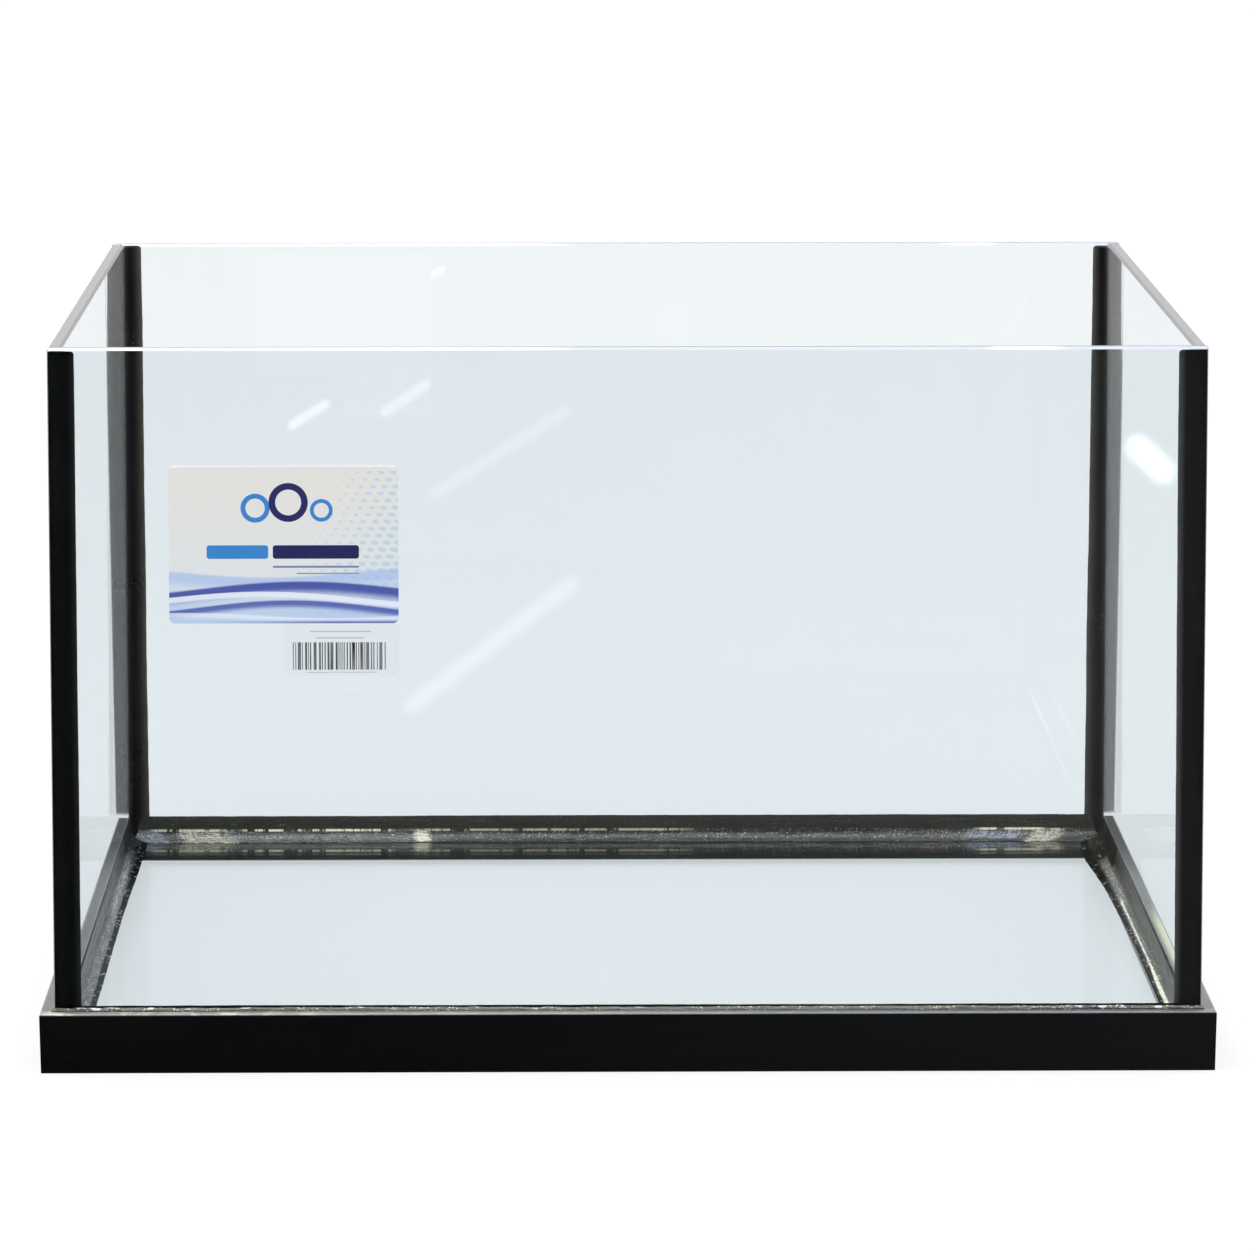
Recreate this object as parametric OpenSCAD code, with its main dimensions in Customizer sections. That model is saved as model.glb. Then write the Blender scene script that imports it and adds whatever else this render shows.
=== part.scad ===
// Rimless glass aquarium tank on a black moulded base frame.
// Five float-glass panes are butt-jointed with black silicone: the four walls
// stand on the bottom pane, the front and back walls run the full width and
// the side walls fit between them. The glued tank sits on the ledge of the
// base frame and is sealed to its lip with one more run of silicone.
//
// Millimetres, +Z up. The origin is the centre of the footprint on the
// resting plane. +X is the right-hand side seen from the front, the front
// faces -Y.

/* [Glass] */
// Outside width of the glass box
tank_w = 508; // [300:1:1200]
// Outside depth of the glass box
tank_d = 508; // [300:1:1200]
// Height of the four wall panes
wall_h = 304; // [150:1:600]
// Thickness of every pane
glass_t = 6; // [4:0.5:12]
// Width of the ground flat on each pane edge
arris = 1.2; // [0.4:0.1:1.6]

/* [Silicone] */
// Thickness of the glue line between two panes
seam_t = 0.5; // [0.3:0.1:1]
// How far the upright silicone stops below the rim
seam_drop = 2; // [1:0.5:8]
// Leg of the front upright beads on the front pane
front_bead_leg = 5.4; // [4:0.1:8]
// Leg of the back upright beads on the back pane
back_bead_leg = 8.6; // [4:0.1:12]
// Leg of the upright beads on the side panes
side_bead_leg = 7; // [4:0.1:12]
// Leg of the bottom beads on the walls
floor_bead_rise = 11.4; // [8:0.1:16]
// Leg of the bottom beads on the floor
floor_bead_run = 9.4; // [8:0.1:16]
// Thickness of the thin feathered edge of a bead
bead_feather = 0.5; // [0.3:0.1:0.8]

/* [Base frame] */
// Height of the frame from the resting plane to the top of its lip
frame_h = 26.7; // [22:0.1:40]
// How far the lip stands out beyond the glass
lip_out = 6.3; // [4:0.1:8]
// How much narrower the frame is at its foot than at its lip, each side
draft = 0.5; // [0:0.1:1]
// Radius of the rounded top edge of the lip
lip_r = 1.2; // [0.5:0.1:2.5]
// Height of the ledge that carries the bottom pane
ledge_z = 11; // [8:0.5:14]
// Width of the ledge under the glass
ledge_w = 13; // [12:1:40]
// Wall thickness of the moulding
frame_wall = 2.6; // [2:0.1:3.5]
// Clearance round the glass, filled with silicone
frame_gap = 0.8; // [0.4:0.1:1.5]
// Number of hollows between the gussets along each side
cells = 6; // [3:1:10]
// Thickness of the gussets under the ledge
web_t = 2; // [1.5:0.1:3]
// How far the gussets stay above the resting plane
gusset_up = 4; // [0:0.5:6]
// How far the gussets stay behind the inner edge of the ledge
gusset_back = 5; // [0:0.5:8]
// Leg of the sealing bead on the lip
bond_run = 1.8; // [1:0.1:3]
// Leg of the sealing bead on the glass
bond_rise = 1.6; // [1:0.1:4]

/* [Stickers] */
// Width of the large sticker
label_w = 100.7; // [60:0.1:140]
// Height of the large sticker
label_h = 69.8; // [40:0.1:100]
// Left edge of the large sticker from the left edge of the glass
label_x = 52.5; // [10:0.5:150]
// Bottom edge of the large sticker above the resting plane
label_z = 200; // [100:0.1:230]
// Width of the small sticker
code_w = 50.2; // [30:0.1:80]
// Height of the small sticker
code_h = 23.3; // [15:0.1:40]
// Thickness of both stickers
paper_t = 0.2; // [0.1:0.05:0.4]
// Corner radius of both stickers
paper_r = 2; // [0.5:0.1:5]

/* [Hidden] */
$fn = 64;
over = 1;                 // how far a cutter runs past the face it cuts
through = 4 * max(tank_w, tank_d);         // longer than any part

// Glass box, half sizes outside and inside
half_w = tank_w / 2;
half_d = tank_d / 2;
inner_half_w = half_w - glass_t;
inner_half_d = half_d - glass_t;

// Heights above the resting plane
floor_z = ledge_z + glass_t;               // top of the bottom pane
wall_z = floor_z + seam_t;                 // underside of the walls
bead_top = wall_z + wall_h - seam_drop;    // top of the upright silicone
ledge_under_z = ledge_z - frame_wall;      // underside of the ledge

// Base frame, half sizes
opening_half_w = half_w - ledge_w;
opening_half_d = half_d - ledge_w;
cell_out = lip_out - draft - frame_wall;   // how far the cells reach beyond the glass
cell_half_w = half_w + cell_out;
cell_half_d = half_d + cell_out;

// Beads
fillet_share = 0.72;      // size of the fillet as a share of the shorter leg
mitre_depth = 20;         // depth of the mitring shape, more than any bottom bead

silicone_black = [0.03, 0.035, 0.035];
glass_tint = [0.82, 0.9, 0.92, 0.35];
frame_black = [0.025, 0.03, 0.035];
label_blue_white = [0.88, 0.92, 0.96];
code_white = [0.95, 0.95, 0.95];

// ---------- shared shapes ----------

// A box centred on the Z axis that rises from z.
module centred_box(half_x, half_y, z, height) {
  translate([-half_x, -half_y, z]) cube([2 * half_x, 2 * half_y, height]);
}

// Intersects two extruded elevations: child 0 is the outline seen from the
// front, child 1 is the outline seen from the side.
module two_way() {
  intersection() {
    rotate([90, 0, 0]) linear_extrude(height = through, center = true) children(0);
    rotate([90, 0, 90]) linear_extrude(height = through, center = true) children(1);
  }
}

// Moves a child drawn in the front left corner to the corner on the side
// side_x (-1 left, 1 right) and side_y (-1 front, 1 back).
module in_corner(side_x, side_y) {
  mirror([side_x > 0 ? 1 : 0, 0, 0]) mirror([0, side_y > 0 ? 1 : 0, 0]) children();
}

// ---------- glass ----------

// A rectangle from (0,0) with its corners cut off at 45 degrees.
module cut_rect(width, height) {
  polygon([[arris, 0], [width - arris, 0],
           [width, arris], [width, height - arris],
           [width - arris, height], [arris, height],
           [0, height - arris], [0, arris]]);
}

// A pane of glass with the ground flat on all twelve edges.
module pane(size_x, size_y, size_z) {
  intersection() {
    linear_extrude(height = size_z) cut_rect(size_x, size_y);
    translate([0, size_y, 0]) rotate([90, 0, 0])
      linear_extrude(height = size_y) cut_rect(size_x, size_z);
    rotate([90, 0, 90])
      linear_extrude(height = size_x) cut_rect(size_y, size_z);
  }
}

// A front or back wall whose front face is at y.
module full_width_pane(y) {
  translate([-half_w, y, wall_z]) pane(tank_w, glass_t, wall_h);
}

// A side wall whose left face is at x.
module side_pane(x) {
  half_length = inner_half_d - seam_t;
  translate([x, -half_length, wall_z]) pane(glass_t, 2 * half_length, wall_h);
}

module front_panel() {
  color(glass_tint) full_width_pane(-half_d);
}

module back_panel() {
  color(glass_tint) full_width_pane(inner_half_d);
}

module left_panel() {
  color(glass_tint) side_pane(-half_w);
}

module right_panel() {
  color(glass_tint) side_pane(inner_half_w);
}

module bottom_panel() {
  color(glass_tint) translate([-half_w, -half_d, ledge_z]) pane(tank_w, tank_d, glass_t);
}

// ---------- base frame ----------

// Outline of the frame in elevation: drafted sides and a rounded top edge.
module frame_outline(half) {
  draft_angle = atan2(draft, frame_h);
  round_x = half - lip_r;
  round_z = frame_h - lip_r;
  // where the drafted side meets the rounded edge
  side_x = round_x + lip_r * cos(draft_angle);
  side_z = round_z - lip_r * sin(draft_angle);
  union() {
    polygon([[-(half - draft), 0], [half - draft, 0],
             [side_x, side_z], [round_x, frame_h],
             [-round_x, frame_h], [-side_x, side_z]]);
    for (s = [-1, 1]) translate([s * round_x, round_z]) circle(r = lip_r);
  }
}

// The row of hollows along the +Y side, between two corners. It is half_length
// long each way and reaches from the opening's edge out to y = outer.
module cell_row(half_length, opening, outer) {
  pitch = (2 * half_length + web_t) / cells;
  for (i = [0 : cells - 1])
    translate([-half_length + i * pitch, opening - over, -over])
      cube([pitch - web_t, outer - opening + over, ledge_under_z + over]);
}

// The hollow in the front left corner.
module corner_cell() {
  translate([-cell_half_w, -cell_half_d, -over])
    cube([cell_half_w - opening_half_w - frame_wall,
          cell_half_d - opening_half_d - frame_wall,
          ledge_under_z + over]);
}

module base_frame() {
  color(frame_black)
  difference() {
    two_way() {
      frame_outline(half_w + lip_out);
      frame_outline(half_d + lip_out);
    }
    // pocket that the glass drops into
    centred_box(half_w + frame_gap, half_d + frame_gap, ledge_z, frame_h);
    // opening inside the ledge
    centred_box(opening_half_w, opening_half_d, -over, frame_h);
    // hollows along the four sides, open to the middle, with gussets between
    for (turn = [0, 180]) {
      rotate([0, 0, turn]) cell_row(opening_half_w, opening_half_d, cell_half_d);
      rotate([0, 0, turn + 90]) cell_row(opening_half_d, opening_half_w, cell_half_w);
    }
    for (side_x = [-1, 1], side_y = [-1, 1]) in_corner(side_x, side_y) corner_cell();
    // the gussets end above the resting plane and behind the ledge's edge
    centred_box(cell_half_w, cell_half_d, -over, gusset_up + over);
    centred_box(opening_half_w + gusset_back, opening_half_d + gusset_back,
                -over, ledge_under_z + over);
  }
}

// ---------- silicone seams ----------

// Elevation of the bead on the lip, from the lip up to the glass.
module bond_outline(half) {
  polygon([[-(half + bond_run), frame_h], [half + bond_run, frame_h],
           [half, frame_h + bond_rise], [-half, frame_h + bond_rise]]);
}

// Fills the clearance round the glass and rises in a small bead on the lip.
module frame_sealing_bead() {
  color(silicone_black)
  difference() {
    union() {
      centred_box(half_w + frame_gap, half_d + frame_gap, ledge_z, frame_h - ledge_z);
      two_way() {
        bond_outline(half_w);
        bond_outline(half_d);
      }
    }
    centred_box(half_w, half_d, 0, 2 * frame_h);
  }
}

// Glue line that fills the joint between a full-width wall and the end of a
// side wall, out to the ground edges on both sides.
module corner_seam(side_x, side_y) {
  in_corner(side_x, side_y)
    translate([-half_w, -inner_half_d, wall_z])
      linear_extrude(height = bead_top - wall_z)
        polygon([[0, -arris], [arris, 0], [glass_t, 0], [glass_t, seam_t + arris],
                 [glass_t - arris, seam_t], [arris, seam_t], [0, seam_t + arris]]);
}

// Glue line under a front or back wall, from y to the back.
module full_width_seam(y) {
  translate([-half_w + arris, y, floor_z])
    cube([tank_w - 2 * arris, glass_t - arris, seam_t]);
}

// Glue line under a side wall, from x to the right.
module side_seam(x) {
  translate([x, -inner_half_d, floor_z])
    cube([glass_t - arris, 2 * inner_half_d, seam_t]);
}

module front_left_seam() {
  color(silicone_black) corner_seam(-1, -1);
}

module front_right_seam() {
  color(silicone_black) corner_seam(1, -1);
}

module back_left_seam() {
  color(silicone_black) corner_seam(-1, 1);
}

module back_right_seam() {
  color(silicone_black) corner_seam(1, 1);
}

module bottom_front_seam() {
  color(silicone_black) full_width_seam(-half_d + arris);
}

module bottom_back_seam() {
  color(silicone_black) full_width_seam(inner_half_d);
}

module bottom_left_seam() {
  color(silicone_black) side_seam(-half_w + arris);
}

module bottom_right_seam() {
  color(silicone_black) side_seam(inner_half_w);
}

// ---------- silicone beads ----------

// Cross-section of a tooled bead in the corner at (0,0): two thin feathered
// legs along +X and +Y and a hollow fillet between them.
module bead_section(run, rise) {
  fillet = fillet_share * min(run, rise);
  union() {
    square([run, bead_feather]);
    square([bead_feather, rise]);
    difference() {
      square([fillet, fillet]);
      translate([fillet, fillet]) circle(r = fillet - bead_feather);
    }
  }
}

// An upright bead in one inside corner.
module upright_bead(side_x, side_y) {
  in_corner(side_x, side_y)
    translate([-inner_half_w, -inner_half_d, floor_z])
      linear_extrude(height = bead_top - floor_z)
        bead_section(side_y < 0 ? front_bead_leg : back_bead_leg, side_bead_leg);
}

// A bottom bead along a wall: the wall is the plane y = 0 and the floor is
// the plane z = 0. Both ends are mitred at 45 degrees.
module floor_bead(half_length) {
  mitred = half_length - mitre_depth;
  intersection() {
    translate([-half_length, 0, 0]) rotate([90, 0, 90])
      linear_extrude(height = 2 * half_length)
        bead_section(floor_bead_run, floor_bead_rise);
    translate([0, 0, -over]) linear_extrude(height = floor_bead_rise + 2 * over)
      polygon([[-half_length, 0], [half_length, 0],
               [mitred, mitre_depth], [-mitred, mitre_depth]]);
  }
}

// A floor bead turned to the wall whose middle is at (x, y), cut back where
// the upright beads stand.
module bottom_bead(x, y, turn, half_length) {
  difference() {
    translate([x, y, floor_z]) rotate([0, 0, turn]) floor_bead(half_length);
    for (side_x = [-1, 1], side_y = [-1, 1]) upright_bead(side_x, side_y);
  }
}

module front_left_bead() {
  color(silicone_black) upright_bead(-1, -1);
}

module front_right_bead() {
  color(silicone_black) upright_bead(1, -1);
}

module back_left_bead() {
  color(silicone_black) upright_bead(-1, 1);
}

module back_right_bead() {
  color(silicone_black) upright_bead(1, 1);
}

module bottom_front_bead() {
  color(silicone_black) bottom_bead(0, -inner_half_d, 0, inner_half_w);
}

module bottom_back_bead() {
  color(silicone_black) bottom_bead(0, inner_half_d, 180, inner_half_w);
}

module bottom_left_bead() {
  color(silicone_black) bottom_bead(-inner_half_w, 0, -90, inner_half_d);
}

module bottom_right_bead() {
  color(silicone_black) bottom_bead(inner_half_w, 0, 90, inner_half_d);
}

// ---------- stickers ----------

// A sheet of paper with rounded corners on the outside of the front wall.
// x is its left edge from the left edge of the glass, z its bottom edge.
module sticker(x, z, width, height) {
  translate([-half_w + x, -half_d, z]) rotate([90, 0, 0])
    linear_extrude(height = paper_t)
      union() {
        translate([paper_r, 0]) square([width - 2 * paper_r, height]);
        translate([0, paper_r]) square([width, height - 2 * paper_r]);
        for (corner_x = [paper_r, width - paper_r], corner_z = [paper_r, height - paper_r])
          translate([corner_x, corner_z]) circle(r = paper_r);
      }
}

module product_sticker() {
  color(label_blue_white) sticker(label_x, label_z, label_w, label_h);
}

// Hangs directly below the large sticker, flush with its right edge.
module barcode_sticker() {
  color(code_white)
    sticker(label_x + label_w - code_w, label_z - code_h, code_w, code_h);
}

front_panel();
back_panel();
left_panel();
right_panel();
bottom_panel();
base_frame();
frame_sealing_bead();
front_left_seam();
front_right_seam();
back_left_seam();
back_right_seam();
bottom_front_seam();
bottom_back_seam();
bottom_left_seam();
bottom_right_seam();
front_left_bead();
front_right_bead();
back_left_bead();
back_right_bead();
bottom_front_bead();
bottom_back_bead();
bottom_left_bead();
bottom_right_bead();
product_sticker();
barcode_sticker();
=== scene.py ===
"""A glass aquarium: five panes, tooled black silicone, a moulded base frame and two stickers.

Metres in the row frame: +X right, -Y front, +Z up. The tank stands on its base frame,
centred on X and Y. Sizes come from the CAD boxes, and the looks are built around them.
"""

import math
import random

import bmesh
import bpy
from mathutils import Matrix, Vector, noise


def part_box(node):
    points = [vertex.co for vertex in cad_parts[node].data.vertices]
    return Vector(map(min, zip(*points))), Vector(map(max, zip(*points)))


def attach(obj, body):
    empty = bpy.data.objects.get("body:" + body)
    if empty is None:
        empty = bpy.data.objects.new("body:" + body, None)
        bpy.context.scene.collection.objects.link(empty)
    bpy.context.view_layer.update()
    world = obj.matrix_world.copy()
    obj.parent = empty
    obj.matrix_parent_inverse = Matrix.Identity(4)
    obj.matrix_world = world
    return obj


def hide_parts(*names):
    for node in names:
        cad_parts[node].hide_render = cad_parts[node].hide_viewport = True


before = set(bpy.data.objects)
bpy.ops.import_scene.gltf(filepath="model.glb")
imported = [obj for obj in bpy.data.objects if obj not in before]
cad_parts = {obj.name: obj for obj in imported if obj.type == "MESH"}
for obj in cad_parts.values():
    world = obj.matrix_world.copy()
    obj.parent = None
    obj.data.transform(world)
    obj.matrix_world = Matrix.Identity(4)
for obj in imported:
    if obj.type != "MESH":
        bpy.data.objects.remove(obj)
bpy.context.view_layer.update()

MM = 0.001

# ---------------------------------------------------------------- sizes
front_low, front_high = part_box("front_panel")
side_low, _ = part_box("left_panel")
floor_low, floor_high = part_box("bottom_panel")
_, frame_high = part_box("base_frame")
upright_low, upright_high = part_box("front_left_bead")
foot_low, foot_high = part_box("bottom_front_bead")
_, seal_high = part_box("frame_sealing_bead")
product_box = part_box("product_sticker")
code_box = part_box("barcode_sticker")

HALF_W = front_high.x                      # half width and depth of the glass box
HALF_D = -front_low.y
PANE = front_high.y - front_low.y          # pane thickness
IN_W, IN_D = HALF_W - PANE, HALF_D - PANE  # inside half sizes
SIDE_D = -side_low.y                       # half length of the side panes
WALL_Z, RIM_Z = front_low.z, front_high.z  # foot and top of the walls
FLOOR_Z = floor_high.z                     # top of the bottom pane
LEDGE_Z = floor_low.z                      # top of the frame's ledge
LIP_Z = frame_high.z                       # top of the frame's lip
FRAME_X = frame_high.x                     # half width of the frame
BEAD_TOP = upright_high.z                  # top of the upright silicone
SIDE_LEG = upright_high.y - upright_low.y  # upright bead's leg on a side pane
FLOOR_RISE = foot_high.z - foot_low.z      # floor bead's legs, up the wall and along the floor
FLOOR_RUN = foot_high.y - foot_low.y
SEAL_TOP = seal_high.z                     # top of the sealing bead on the glass
GAP = 0.8 * MM                             # clearance round the glass in the frame
EMBED = 0.04 * MM                          # silicone wets the glass: no air between them
ARRIS = 1.15 * MM                          # bevel on the long edges of a pane
LABEL_W = product_box[1].x - product_box[0].x
LABEL_H = product_box[1].z - product_box[0].z
CORNER_R = 2.0 * MM                        # die cut corners of the stickers
PAPER = 0.11 * MM                          # sticker thickness

GLASS_TINT = (0.907, 0.947, 0.965)
EDGE_TINT = (0.235, 0.232, 0.243)
FLOOR_MIRROR_Y = 0.1923   # in front of this line the floor pane is looked through, not mirrored
WHITE = (1.0, 1.0, 1.0)

CAMERA_AT = Vector((-0.0387, -3.4687, 0.6592))
YAW, PITCH, ROLL = 0.0116, 0.1422, -0.0004
LENS, SENSOR = 212.832, 36.0               # millimetres

# ---------------------------------------------------------------- mesh helpers


def wander(place, seed, *waves):
    """A sum of smooth noises. Each wave is (height, rate along place, y offset, z offset)."""
    return sum(
        height * noise.noise(Vector((place * rate + seed * 17.13, y + seed * 5.71,
                                     z + seed * 3.37)))
        for height, rate, y, z in waves)


def mesh_object(name, points, faces, materials, sharp=None, pick=None, attributes=(), prints=None):
    """A mesh shaded smooth up to the angle sharp, or flat without one. pick gives a face's
    material slot, and prints gives every point its place on the "print" UV map."""
    mesh = bpy.data.meshes.new(name)
    mesh.from_pydata([tuple(point) for point in points], [], faces)
    if prints:
        layer = mesh.uv_layers.new(name="print")
        for loop in mesh.loops:
            layer.data[loop.index].uv = prints[loop.vertex_index]
    shell = bmesh.new()
    shell.from_mesh(mesh)
    bmesh.ops.recalc_face_normals(shell, faces=shell.faces[:])
    shell.to_mesh(mesh)
    shell.free()
    for material in materials:
        mesh.materials.append(material)
    for face in mesh.polygons:
        face.use_smooth = sharp is not None
        if pick:
            face.material_index = pick(face)
    if sharp is not None:
        mesh.set_sharp_from_angle(angle=math.radians(sharp))
    for key, values in attributes:
        mesh.attributes.new(key, "FLOAT", "POINT").data.foreach_set("value", list(values))
    return add_object(name, mesh)


def add_object(name, data):
    ob = bpy.data.objects.new(name, data)
    bpy.context.scene.collection.objects.link(ob)
    return ob


def loft(name, rings, materials, marks=(), sharp=None, closed=False, pick=None):
    """Quads between equal rings. A ring's items are (point, mark values...), and marks names
    those values. closed joins the last ring to the first, otherwise both ends are capped."""
    size, count = len(rings[0]), len(rings)
    faces = []
    for i in range(count if closed else count - 1):
        here, there = i * size, (i + 1) % count * size
        for j in range(size):
            k = (j + 1) % size
            faces.append((here + j, here + k, there + k, there + j))
    if not closed:
        faces.append(tuple(range(size - 1, -1, -1)))
        faces.append(tuple(range((count - 1) * size, count * size)))
    points, *columns = zip(*(item for ring in rings for item in ring))
    return mesh_object(name, points, faces, materials, sharp, pick, zip(marks, columns))


def stand_for(ob, node):
    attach(ob, "root")
    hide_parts(node)


# ---------------------------------------------------------------- shader helpers


class Signal:
    """A shader output. Arithmetic on it adds Math nodes to its tree."""

    def __init__(self, net, socket):
        self.net = net
        self.socket = socket

    def math(self, operation, other=0.0, clamp=False):
        return self.net.math(operation, self, other, clamp)

    def __add__(self, other):
        return self.math("ADD", other)

    def __radd__(self, other):
        return self.net.math("ADD", other, self)

    def __sub__(self, other):
        return self.math("SUBTRACT", other)

    def __rsub__(self, other):
        return self.net.math("SUBTRACT", other, self)

    def __mul__(self, other):
        return self.math("MULTIPLY", other)

    def __truediv__(self, other):
        return self.math("DIVIDE", other)

    def __abs__(self):
        return self.math("ABSOLUTE")

    def step(self, zero_at, one_at):
        """0 at and beyond zero_at, 1 at and beyond one_at, smooth between."""
        falling = zero_at > one_at
        return self.net.node("MapRange", {
            "Value": self,
            "From Min": min(zero_at, one_at), "From Max": max(zero_at, one_at),
            "To Min": 1.0 if falling else 0.0, "To Max": 0.0 if falling else 1.0,
        }, interpolation_type="SMOOTHSTEP")

    def ramp(self, first, last, over=(0.3, 0.7)):
        """A straight change from first to last, over the middle range of a noise by default."""
        return self.net.node("MapRange", {"Value": self, "From Min": over[0], "From Max": over[1],
                                          "To Min": first, "To Max": last})


class Net:
    """Builds the node tree of a material or world."""

    def __init__(self, owner, output="OutputMaterial"):
        owner.use_nodes = True
        self.owner = owner
        self.tree = owner.node_tree
        self.tree.nodes.clear()
        self.output = self.tree.nodes.new("ShaderNode" + output)

    def node(self, kind, inputs=(), output=0, **props):
        """Adds a node and returns the named output, or a list if output is a tuple."""
        node = self.tree.nodes.new("ShaderNode" + kind)
        for key, value in props.items():
            setattr(node, key, value)
        for key, value in dict(inputs).items():
            socket = node.inputs[key]
            if isinstance(value, Signal):
                self.tree.links.new(value.socket, socket)
            elif socket.type == "RGBA":
                socket.default_value = (*value, 1.0)
            else:
                socket.default_value = value
        if isinstance(output, tuple):
            return [Signal(self, node.outputs[key]) for key in output]
        return Signal(self, node.outputs[output])

    def math(self, operation, a, b, clamp=False):
        return self.node("Math", {0: a, 1: b}, operation=operation, use_clamp=clamp)

    def mix(self, mask, a, b, blend="MIX"):
        """Colour a where mask is 0, colour b where it is 1."""
        return self.node("Mix", {0: mask, 6: a, 7: b}, 2, data_type="RGBA", blend_type=blend)

    def mix_shader(self, mask, a, b):
        return self.node("MixShader", {0: mask, 1: a, 2: b})

    def coords(self, kind="Object"):
        return self.node("TexCoord", output=kind)

    def scaled(self, vector, *scale):
        return self.node("Mapping", {"Vector": vector, "Scale": scale})

    def separate(self, vector):
        return self.node("SeparateXYZ", {0: vector}, (0, 1, 2))

    def seen_by_camera(self, vector):
        """X, Y and Z of a world direction in the camera's own axes."""
        return self.separate(self.node("VectorTransform", {0: vector}, vector_type="VECTOR",
                                       convert_from="WORLD", convert_to="CAMERA"))

    def noise(self, vector, scale, detail=3.0, rough=0.5, distortion=0.0):
        return self.node("TexNoise", {"Vector": vector, "Scale": scale, "Detail": detail,
                                      "Roughness": rough, "Distortion": distortion})

    def cells(self, vector, scale):
        """Distance to the nearest of scattered points."""
        return self.node("TexVoronoi", {"Vector": vector, "Scale": scale}, "Distance")

    def attr(self, name):
        return self.node("Attribute", output="Fac", attribute_name=name)

    def bump(self, height, strength, distance):
        return self.node("Bump", {"Strength": strength, "Distance": distance, "Height": height})

    def principled(self, **values):
        return self.node("BsdfPrincipled", {k.replace("_", " "): v for k, v in values.items()})

    def finish(self, shader):
        self.tree.links.new(shader.socket, self.output.inputs["Surface"])
        return self.owner


def material_net(name):
    return Net(bpy.data.materials.new(name))


def length(x, y):
    return (x * x + y * y).math("SQRT")


def scale_colour(colour, factor):
    return tuple(channel * factor for channel in colour)


# ---------------------------------------------------------------- glass materials


def make_glass(name, kind):
    """Float glass with a blue-grey cast and faint wipe marks. Seen at a flat angle, the floor
    pane and the foot and front of a side pane mirror only faintly."""
    net = material_net(name)
    pos = net.coords()
    wipe = net.noise(net.scaled(pos, 1.0, 1.0, 2.6), 9.0, detail=4.0, rough=0.55, distortion=0.6)
    wipe_haze_and_painted_gleam = wipe.step(0.52, 0.8)
    tint = net.mix(wipe_haze_and_painted_gleam, GLASS_TINT, scale_colour(GLASS_TINT, 0.992))
    rough = wipe_haze_and_painted_gleam.ramp(0.0, 0.012, over=(0.0, 1.0)) if kind == "wall" else 0.0
    shader = net.principled(Base_Color=tint, Roughness=rough, IOR=1.52, Transmission_Weight=1.0)
    if kind != "wall":
        shader = look_through(net, shader, pos, kind)
    # Lamps shine through the pane, tinted, instead of leaving a black shadow.
    shadow_ray = net.node("LightPath", output="Is Shadow Ray")
    clear = net.node("BsdfTransparent", {"Color": (0.92, 0.95, 0.96)})
    return net.finish(net.mix_shader(shadow_ray, shader, clear))


def look_through(net, shader, pos, kind):
    """Swaps the mirroring glass for plain refraction at flat angles in part of a pane."""
    normal, incoming, inside = net.node("NewGeometry", output=("Normal", "Incoming", "Backfacing"))
    facing = abs(net.node("VectorMath", {0: normal, 1: incoming}, "Value",
                          operation="DOT_PRODUCT"))
    x, y, z = net.separate(pos)
    outer = (1.0 - inside) * facing.step(0.2334, 0.1994)
    inner = inside * (facing.step(0.775, 0.768) * facing.step(0.745, 0.752))
    flat = outer + inner
    if kind == "floor":
        share, tint = 0.93, (0.943, 0.960, 0.966)
        clear = y.step(FLOOR_MIRROR_Y + 0.0003, FLOOR_MIRROR_Y - 0.0003)
    else:
        share, tint = 0.90, (0.920, 0.934, 0.943)
        # a strip at the foot that climbs towards the front
        low = (z - (IN_D - y) * 0.172).step(0.0315, 0.0295)
        # everything in front of a leaning line, placed differently on each side pane
        on_left = x.step(0.001, -0.001)
        reach = net.mix(on_left, (0.182,) * 3, (0.143,) * 3)
        lean = net.mix(on_left, (0.12,) * 3, (0.18,) * 3)
        line = reach - z * lean
        clear = low.math("MAXIMUM", (y - line).step(0.0012, -0.0012) * 0.9)
    refraction = net.node("BsdfRefraction", {"Color": tint, "Roughness": 0.0, "IOR": 1.52})
    return net.mix_shader(flat * share * clear, shader, refraction)


def make_edge_flat():
    """The ground flat of a pane's edge: satin grey with fine grinding marks."""
    net = material_net("ground_edge_flat")
    pos = net.coords()
    grain = net.noise(pos, 1500.0, rough=0.6)
    soft = net.noise(pos, 5.0, detail=2.0)
    tone = net.mix(soft.ramp(0.0, 1.0), EDGE_TINT, scale_colour(EDGE_TINT, 1.10))
    tone = net.mix(grain.step(0.6, 0.75) * 0.12, tone, (0.5, 0.52, 0.54))
    return net.finish(net.principled(
        Base_Color=tone, Roughness=grain.ramp(0.42, 0.56), IOR=1.52, Specular_IOR_Level=0.35,
        Normal=net.bump(grain, strength=0.15, distance=0.00003)))


def make_edge_arris():
    """The bevel between a pane's face and its edge flat: frosted, painted white where the light
    falls and painted blue-grey shade elsewhere.
    """
    net = material_net("frosted_arris")
    pos = net.coords()
    x, _, _ = net.separate(pos)
    grain = net.noise(pos, 1300.0, rough=0.6)
    drift = (net.noise(pos, 24.0, rough=0.6) - 0.5) * 0.03
    x = x + drift
    # painted light: white on the left and in one narrow spot on the right, painted blue-grey shade
    # from the middle rightward
    painted_cool_light = x.step(-0.052, -0.020) * (1.0 - x.step(0.160, 0.170) * x.step(0.196, 0.186))
    tone = net.mix(painted_cool_light, (0.97, 0.97, 0.96), (0.50, 0.56, 0.66))
    tone = net.mix(grain.step(0.55, 0.75) * 0.15, tone, (0.92, 0.94, 0.96))
    return net.finish(net.principled(
        Base_Color=tone, Roughness=grain.ramp(0.35, 0.5), IOR=1.52,
        Normal=net.bump(grain, strength=0.2, distance=0.00003)))


# ---------------------------------------------------------------- silicone materials


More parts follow.
